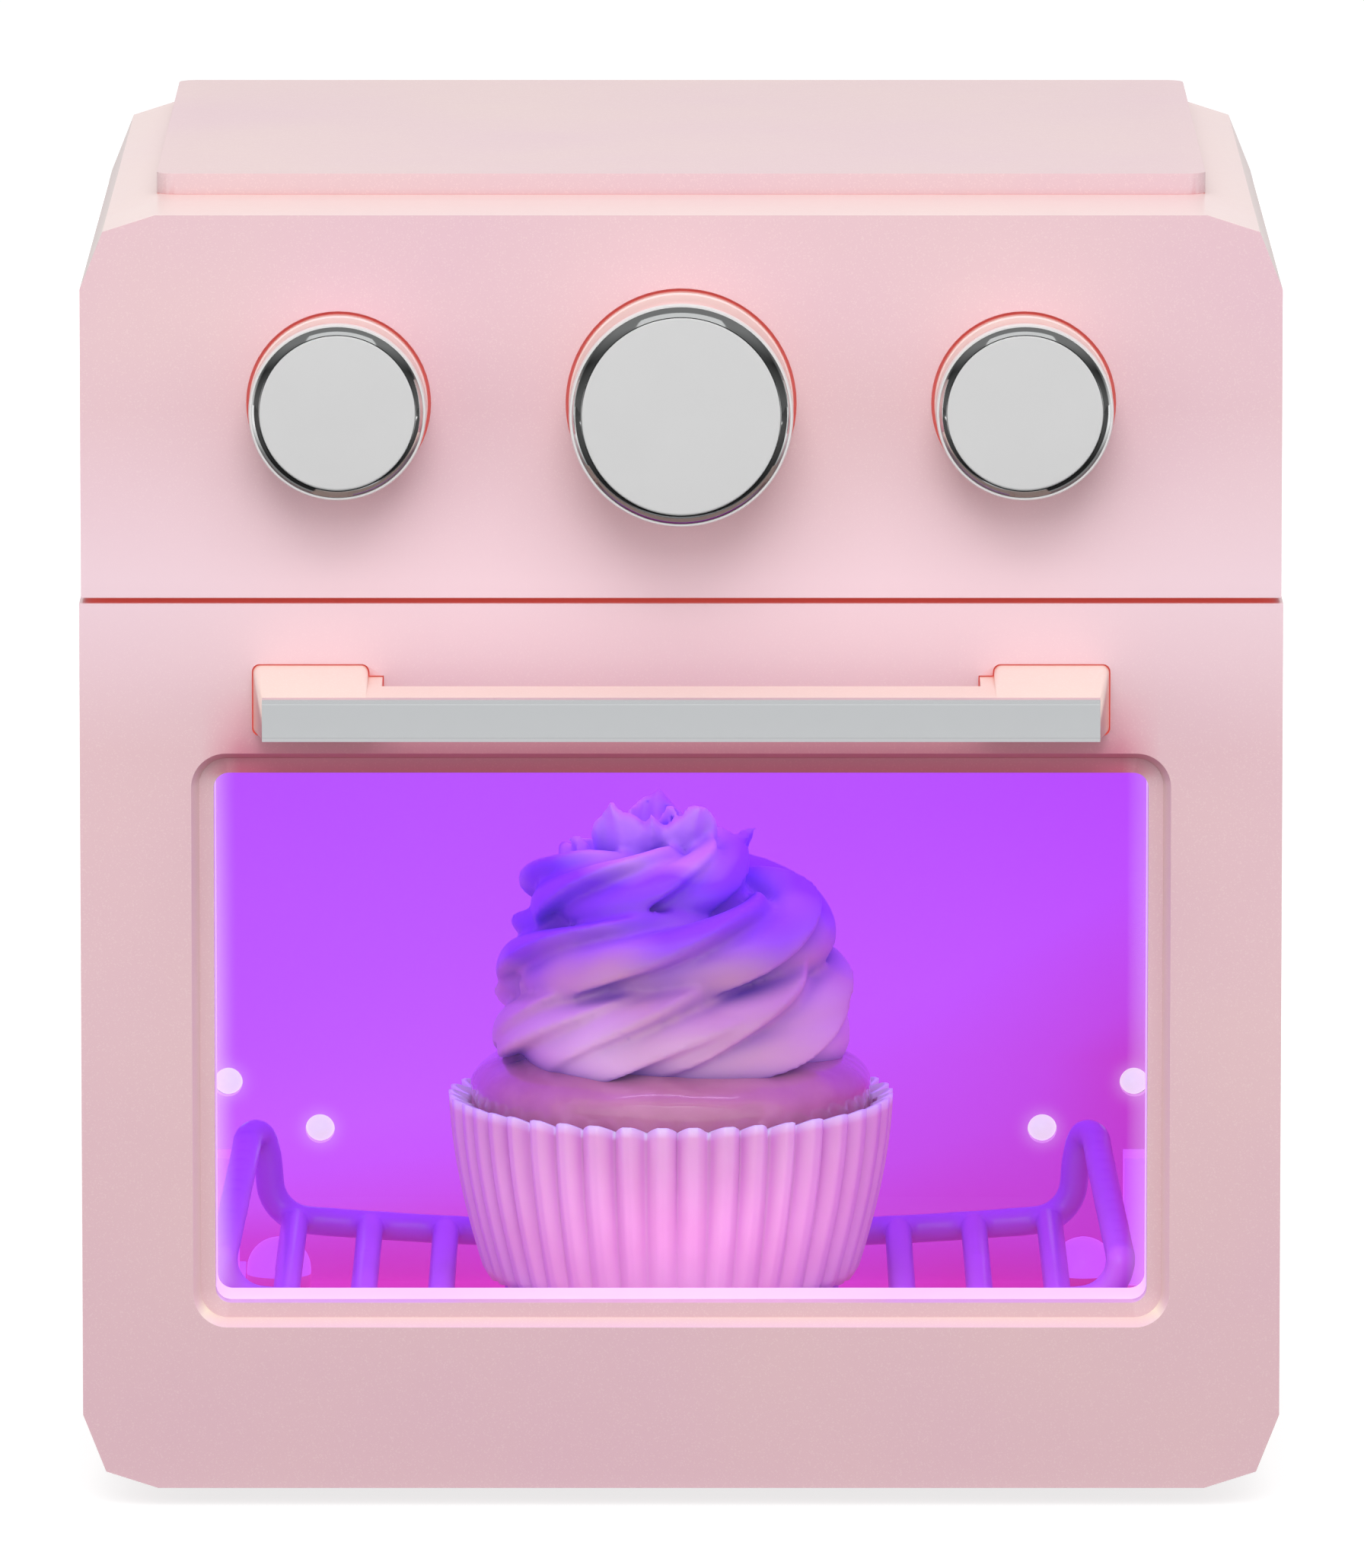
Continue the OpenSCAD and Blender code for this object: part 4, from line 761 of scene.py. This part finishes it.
def liner_piece():
    """Pleated case: rounded ridges with narrow valleys that grow deeper towards a scalloped rim."""
    rows = 18
    n = PLEATS * PLEAT_STEPS
    widths = [1 + random.uniform(-0.14, 0.14) for _ in range(PLEATS)]
    total = sum(widths)
    angles, crown, swell, lean = [], [], [], []
    start = 0.0
    for width in widths:
        bulge = random.uniform(-0.15, 0.15)
        tilt = random.uniform(-0.008, 0.008)
        for k in range(PLEAT_STEPS):
            angles.append(2 * math.pi * (start + width * k / PLEAT_STEPS) / total)
            crown.append(min(1.0, 1.08 * abs(math.sin(math.pi * k / PLEAT_STEPS)) ** 0.95))
            swell.append(1 + bulge)
            lean.append(tilt)
        start += width

    def layer(thick, base_share, base_z):
        """One side of the paper, moved in by its thickness, with its foot drawn in and set level."""
        verts = []
        for i in range(rows + 1):
            t = i / rows
            plain_r = CUP_FOOT_R + CUP_FLARE * (1 - (1 - t) ** 1.7)
            for k in range(n):
                r = plain_r + (0.6 + 1.35 * t) * (crown[k] - 0.68) * swell[k] - thick
                r *= 1 if i else base_share
                z = CUP_H * t + 0.9 * (crown[k] - 0.6) * t ** 7 if i else base_z
                a = angles[k] + lean[k] * t
                verts.append(cup(r * math.cos(a), r * math.sin(a), z))
        return verts

    floor_t = 0.6
    inside = (rows + 1) * n
    verts = layer(0, 0.985, 0) + layer(PAPER_T, 1, floor_t)
    faces = round_grid(0, rows, n) + [tuple(reversed(face)) for face in round_grid(inside, rows, n)]
    rim = rows * n
    foot_centre = 2 * inside
    verts += [cup(0, 0, 0), cup(0, 0, floor_t)]
    for k in range(n):
        after = (k + 1) % n
        faces.append((rim + k, rim + after, inside + rim + after, inside + rim + k))
        faces.append((foot_centre, after, k))
        faces.append((foot_centre + 1, inside + k, inside + after))
    piece("cupcake_liner_pleated", verts, faces, "cupcake", liner_mat, ["cupcake_liner"])


liner_piece()


def cake_piece():
    """Cake whose glossy domed edge shows between the case and the frosting."""
    n = 120
    crumb_z = 18
    edge_low, edge_high = 19, 24.5
    profile = [(0, 0.62), (12, 0.62), (17.2, 0.62), (18.4, 5), (20.0, 12), (21.1, 18.3), (21.5, 20.0),
               (21.5, 21.2), (20.9, 22.3), (19.6, 23.3), (17.5, 24.2), (14, 24.8), (8, 25.0), (0, 25.0)]
    verts, rows = [], []
    for r, z in profile:
        count = n if r else 1
        rows.append(list(range(len(verts), len(verts) + count)))
        for k in range(count):
            a = 2 * math.pi * k / n
            broad = noise.noise(Vector((math.cos(a) * 3.1, math.sin(a) * 3.1, z * 0.25)))
            small = noise.noise(Vector((math.cos(a) * 9, math.sin(a) * 9, z * 0.6)))
            rough_r = r + (0.35 * broad + 0.18 * small if r and z > crumb_z else 0)
            rough_z = z + (0.3 * broad if r and edge_low < z < edge_high else 0)
            verts.append(cup(rough_r * math.cos(a), rough_r * math.sin(a), rough_z))
    made = piece("cupcake_cake_domed", verts, skin(rows, n), "cupcake", cake_mat, ["cupcake_cake"])
    use(made, "SUBSURF", levels=1, render_levels=1)


cake_piece()


# The swirl, against the count of turns piped: radius of its path, height of its path above the
# cupcake's base, radius of the piped rope and sideways lean
SWIRL_START, SWIRL_END = -0.7, 3.05
PATH_R = [(0.7, 14.0), (1.5, 13.3), (2.1, 11.4), (2.6, 7.6), (3.05, 2.6)]
PATH_Z = [(0.15, 27.6), (0.6, 29.2), (1.2, 34.0), (2.0, 40.0), (3.05, 46.3)]
ROPE_R = [(0.3, 6.3), (1.4, 6.0), (2.3, 5.3), (3.05, 4.2)]
LEAN = [(0.9, 0.2), (1.6, 0.2), (3.05, -2.2)]
RIDGES = 4
RIDGE_DEPTH = 0.46
ROPE_TWIST = 10.5
ROPE_FLATNESS = 0.92


def smooth_line(stops, t):
    """Straight pieces through (position, value) stops, rounded off where they meet."""
    def line(at):
        if at <= stops[0][0]:
            return stops[0][1]
        for (a, value_a), (b, value_b) in zip(stops, stops[1:]):
            if at <= b:
                return value_a + (value_b - value_a) * (at - a) / (b - a)
        return stops[-1][1]
    return sum(line(t + shift) for shift in (-0.2, -0.1, 0, 0.1, 0.2)) / 5


def ridge(share):
    """Height of a piped fold over its own width: a crisp lower edge, then a long slope inwards."""
    crest = 0.14
    return (share / crest) ** 0.7 if share < crest else ((1 - share) / (1 - crest)) ** 0.85


def swirl():
    """A star-nozzle rope piped round and upwards, its ridges twisting as it goes."""
    steps, n = 560, 96
    tip_steps, tip_share = 14, 0.15
    verts = []
    for i in range(steps + 1):
        u = SWIRL_START + (SWIRL_END - SWIRL_START) * i / steps
        a = math.pi / 2 + 2 * math.pi * u
        path_r, path_z, lean = (smooth_line(stops, u) for stops in (PATH_R, PATH_Z, LEAN))
        rope_r = smooth_line(ROPE_R, u) * (1 + 0.09 * noise.noise(Vector((u * 3.1, 4.0, 0.5))))
        rope_r *= min(1.0, (steps - i) / tip_steps + tip_share)
        twist = ROPE_TWIST * u + 0.7 * noise.noise(Vector((u * 2.3, 1.0, 7.5)))
        for k in range(n):
            phi = 2 * math.pi * k / n
            turn = RIDGES * (phi - twist) / (2 * math.pi)
            turn += 0.10 * noise.noise(Vector((u * 9, math.cos(phi), 3.0)))
            which = math.floor(turn) % RIDGES
            depth = RIDGE_DEPTH + 0.14 * noise.noise(Vector((which * 5.3, u * 1.7, 2.0)))
            wave = 0.05 * noise.noise(Vector((math.cos(phi) * 1.2 + 9, math.sin(phi) * 1.2, u * 6)))
            r = rope_r * (1 - depth + depth * ridge(turn % 1.0) + wave)
            reach = path_r + r * math.cos(phi)
            verts.append(Vector((lean + reach * math.cos(a), reach * math.sin(a),
                                 path_z + ROPE_FLATNESS * r * math.sin(phi))))
    faces = round_grid(0, steps, n)
    faces.append(tuple(reversed(range(n))))
    faces.append(tuple(range(steps * n, (steps + 1) * n)))
    return verts, faces


def core():
    """The frosting inside the swirl, down to the cake."""
    n = 48
    profile = [(0, 23.1), (16.0, 23.1), (16.2, 26.0), (13.5, 31.0), (11.5, 38.0), (7.0, 43.0),
               (2.0, 46.0), (0, 46.2)]
    verts, rows = [], []
    for r, z in profile:
        count = n if r else 1
        rows.append(list(range(len(verts), len(verts) + count)))
        for k in range(count):
            a = 2 * math.pi * k / n
            verts.append(Vector((r * math.cos(a), r * math.sin(a), z)))
    return verts, skin(rows, n)


# Ruffled petals on the top: x, y, z of the foot, direction faced, width and height
PETALS = [(-5.5, -3.0, 43.4, -2.0, 6.6, 8.2), (2.1, -3.0, 43.4, -1.1, 6.6, 8.2),
          (-1.9, -3.6, 44.0, -1.6, 2.8, 6.4), (-0.4, -1.0, 45.4, -1.3, 2.4, 5.8),
          (-1.6, 3.0, 44.4, 1.6, 7.0, 7.2), (-8.4, 0.4, 41.6, 2.9, 5.4, 5.8),
          (6.4, 1.0, 41.6, -0.1, 5.4, 6.4), (-1.8, -6.0, 41.4, -1.6, 5.2, 4.6)]
PETAL_T = 1.8


def petal(x, y, z, faced, width, height):
    """A thick rounded tab that bows outwards, flares and ruffles towards its top."""
    n, rows = 32, 12
    out = Vector((math.cos(faced), math.sin(faced), 0))
    side = Vector((-math.sin(faced), math.cos(faced), 0))
    verts, faces = [], []
    for layer in (0, 1):
        for i in range(rows + 1):
            t = i / rows
            half = width / 2 * (0.72 + 0.3 * math.sin(math.pi * t * 0.6)) * math.sqrt(1 - 0.8 * t ** 5)
            for k in range(n + 1):
                s = k / n * 2 - 1
                bow = 1.5 * (1 - s * s) * (0.4 + 0.6 * t) + t * t
                bow += 0.5 * t * math.sin(6.5 * s + faced * 3)
                bow -= layer * PETAL_T * (1 - 0.3 * t)
                up = height * t * (1 - 0.16 * s * s * t) + 0.3 * t * math.sin(5 * s + faced * 2)
                verts.append(Vector((x, y, z + up)) + out * bow + side * (s * half))

    def at(layer, i, k):
        return (layer * (rows + 1) + i) * (n + 1) + k

    for i in range(rows):
        for k in range(n):
            faces.append((at(0, i, k), at(0, i, k + 1), at(0, i + 1, k + 1), at(0, i + 1, k)))
            faces.append((at(1, i, k), at(1, i + 1, k), at(1, i + 1, k + 1), at(1, i, k + 1)))
        faces.append((at(0, i, 0), at(0, i + 1, 0), at(1, i + 1, 0), at(1, i, 0)))
        faces.append((at(0, i, n), at(1, i, n), at(1, i + 1, n), at(0, i + 1, n)))
    for k in range(n):
        faces.append((at(0, rows, k), at(0, rows, k + 1), at(1, rows, k + 1), at(1, rows, k)))
        faces.append((at(0, 0, k), at(1, 0, k), at(1, 0, k + 1), at(0, 0, k + 1)))
    return verts, faces


def frosting_piece():
    verts, faces = join([swirl(), core()] + [petal(*sizes) for sizes in PETALS])
    made = piece("cupcake_frosting_swirl", [cup(*v) for v in verts], faces, "cupcake", frost_mat,
                 ["cupcake_frosting"])
    use(made, "REMESH", mode="VOXEL", voxel_size=0.4 * MM, use_smooth_shade=True)
    use(made, "SMOOTH", factor=0.5, iterations=4)


frosting_piece()


# Floor, world and lamps

GREY = (0.32, 0.32, 0.32)


def studio_floor():
    """White to the camera. Metal sees it dark nearby, pale in front and white behind the toy, and it
    throws only a little light back."""
    half_w, front, back = 3, -0.55, 5
    mirrored_back, mirrored_front, mirrored_half_w = -0.06, -0.3, 0.6
    mesh = bpy.data.meshes.new("floor")
    mesh.from_pydata([(-half_w, front, 0), (half_w, front, 0), (half_w, back, 0), (-half_w, back, 0)], [],
                     [(0, 1, 2, 3)])
    floor = bpy.data.objects.new("floor", mesh)
    scene.collection.objects.link(floor)
    m = Mat("floor_white", GREY, 0.6)
    rays = m.node("ShaderNodeLightPath").outputs
    x, y, _ = m.split(m.coords())
    seen = m.math("MAXIMUM", rays["Is Camera Ray"], rays["Is Transmission Ray"])
    behind = m.math("GREATER_THAN", y, mirrored_back)
    seen = m.math("MAXIMUM", seen, m.math("MULTIPLY", rays["Is Glossy Ray"], behind))
    ahead = m.math("MULTIPLY", m.math("LESS_THAN", y, mirrored_front),
                   m.math("LESS_THAN", m.math("ABSOLUTE", x), mirrored_half_w))
    mirrored = m.mix(ahead, (0.06, 0.06, 0.06), (0.74, 0.74, 0.74))
    m.set(base_color=m.mix(rays["Is Glossy Ray"], GREY, mirrored), specular_ior_level=0.0,
          emission_color=(1, 1, 1), emission_strength=m.math("MULTIPLY", seen, 0.78))
    mesh.materials.append(m.material)


def studio_world():
    """White to the camera and through glass, soft on matt faces, and in gloss white above and behind,
    pale in front and dark at the sides."""
    world = bpy.data.worlds.new("studio")
    world.use_nodes = True
    scene.world = world
    w = Nodes(world.node_tree)
    background = w.node("ShaderNodeBackground")
    w.put((1.0, 1.0, 1.0), background.inputs["Color"])
    w.link(background.outputs[0], w.node("ShaderNodeOutputWorld").inputs[0])
    rays = w.node("ShaderNodeLightPath").outputs
    _, y, z = w.split(w.coords("Generated"))
    bright, dark = 0.8, 0.09
    around = w.math("MAXIMUM", w.rise(z, 0.35, 0.75), w.rise(y, 0.02, 0.3))
    front = w.math("MAXIMUM", w.math("MULTIPLY", w.rise(y, -0.45, -0.8), bright), dark)
    gloss = w.math("MAXIMUM", w.math("MULTIPLY", around, bright), front)
    soft = w.math("MULTIPLY_ADD", z, 0.128, 0.664)

    def choose(fac, a, b):
        """b where fac is 1, else a."""
        kept = w.math("MULTIPLY", w.math("SUBTRACT", 1.0, fac), a)
        return w.math("ADD", w.math("MULTIPLY", fac, b), kept)

    view_ray = w.math("MAXIMUM", rays["Is Camera Ray"], rays["Is Transmission Ray"])
    level = choose(view_ray, choose(rays["Is Glossy Ray"], soft, gloss), 1.0)
    w.link(level, background.inputs["Strength"])


def lamp(name, at, aim, size, power, color=(1, 1, 1), gloss=False):
    """A rectangular lamp of the given width and height, with places in millimetres."""
    data = bpy.data.lights.new(name, "AREA")
    data.shape = "RECTANGLE"
    data.size = size[0] * MM
    data.size_y = size[1] * MM
    data.energy = power
    data.color = color
    made = bpy.data.objects.new(name, data)
    scene.collection.objects.link(made)
    made.location = point(*at)
    made.rotation_euler = (point(*aim) - point(*at)).to_track_quat("-Z", "Y").to_euler()
    made.visible_camera = False
    made.visible_glossy = gloss


studio_floor()
studio_world()
MAGENTA, VIOLET, LILAC = (1.0, 0.45, 0.8), (0.30, 0.07, 1.0), (0.85, 0.72, 1.0)
lamp("key", (0, -420, 760), (0, 20, 80), (720, 420), 1.9, gloss=True)
lamp("front_fill", (0, -1150, 900), (0, 0, 80), (700, 700), 5.8)
lamp("left_fill", (-700, -500, 260), (0, 0, 80), (500, 500), 0.55)
lamp("right_fill", (700, -500, 260), (0, 0, 80), (500, 500), 0.45)
lamp("back_fill", (0, 1150, 260), (0, 0, 60), (600, 600), 2.4)
lamp("cavity_top", (0, 50, 83.5), (0, 50, 20), (84, 50), 0.020, VIOLET)
lamp("cavity_sheen", (0, 24, 83.5), (0, 40, 40), (46, 1.0), 0.0014, LILAC, gloss=True)
lamp("cavity_low", (14, 20, 24), (8, 70, 44), (72, 8), 0.0012, MAGENTA)
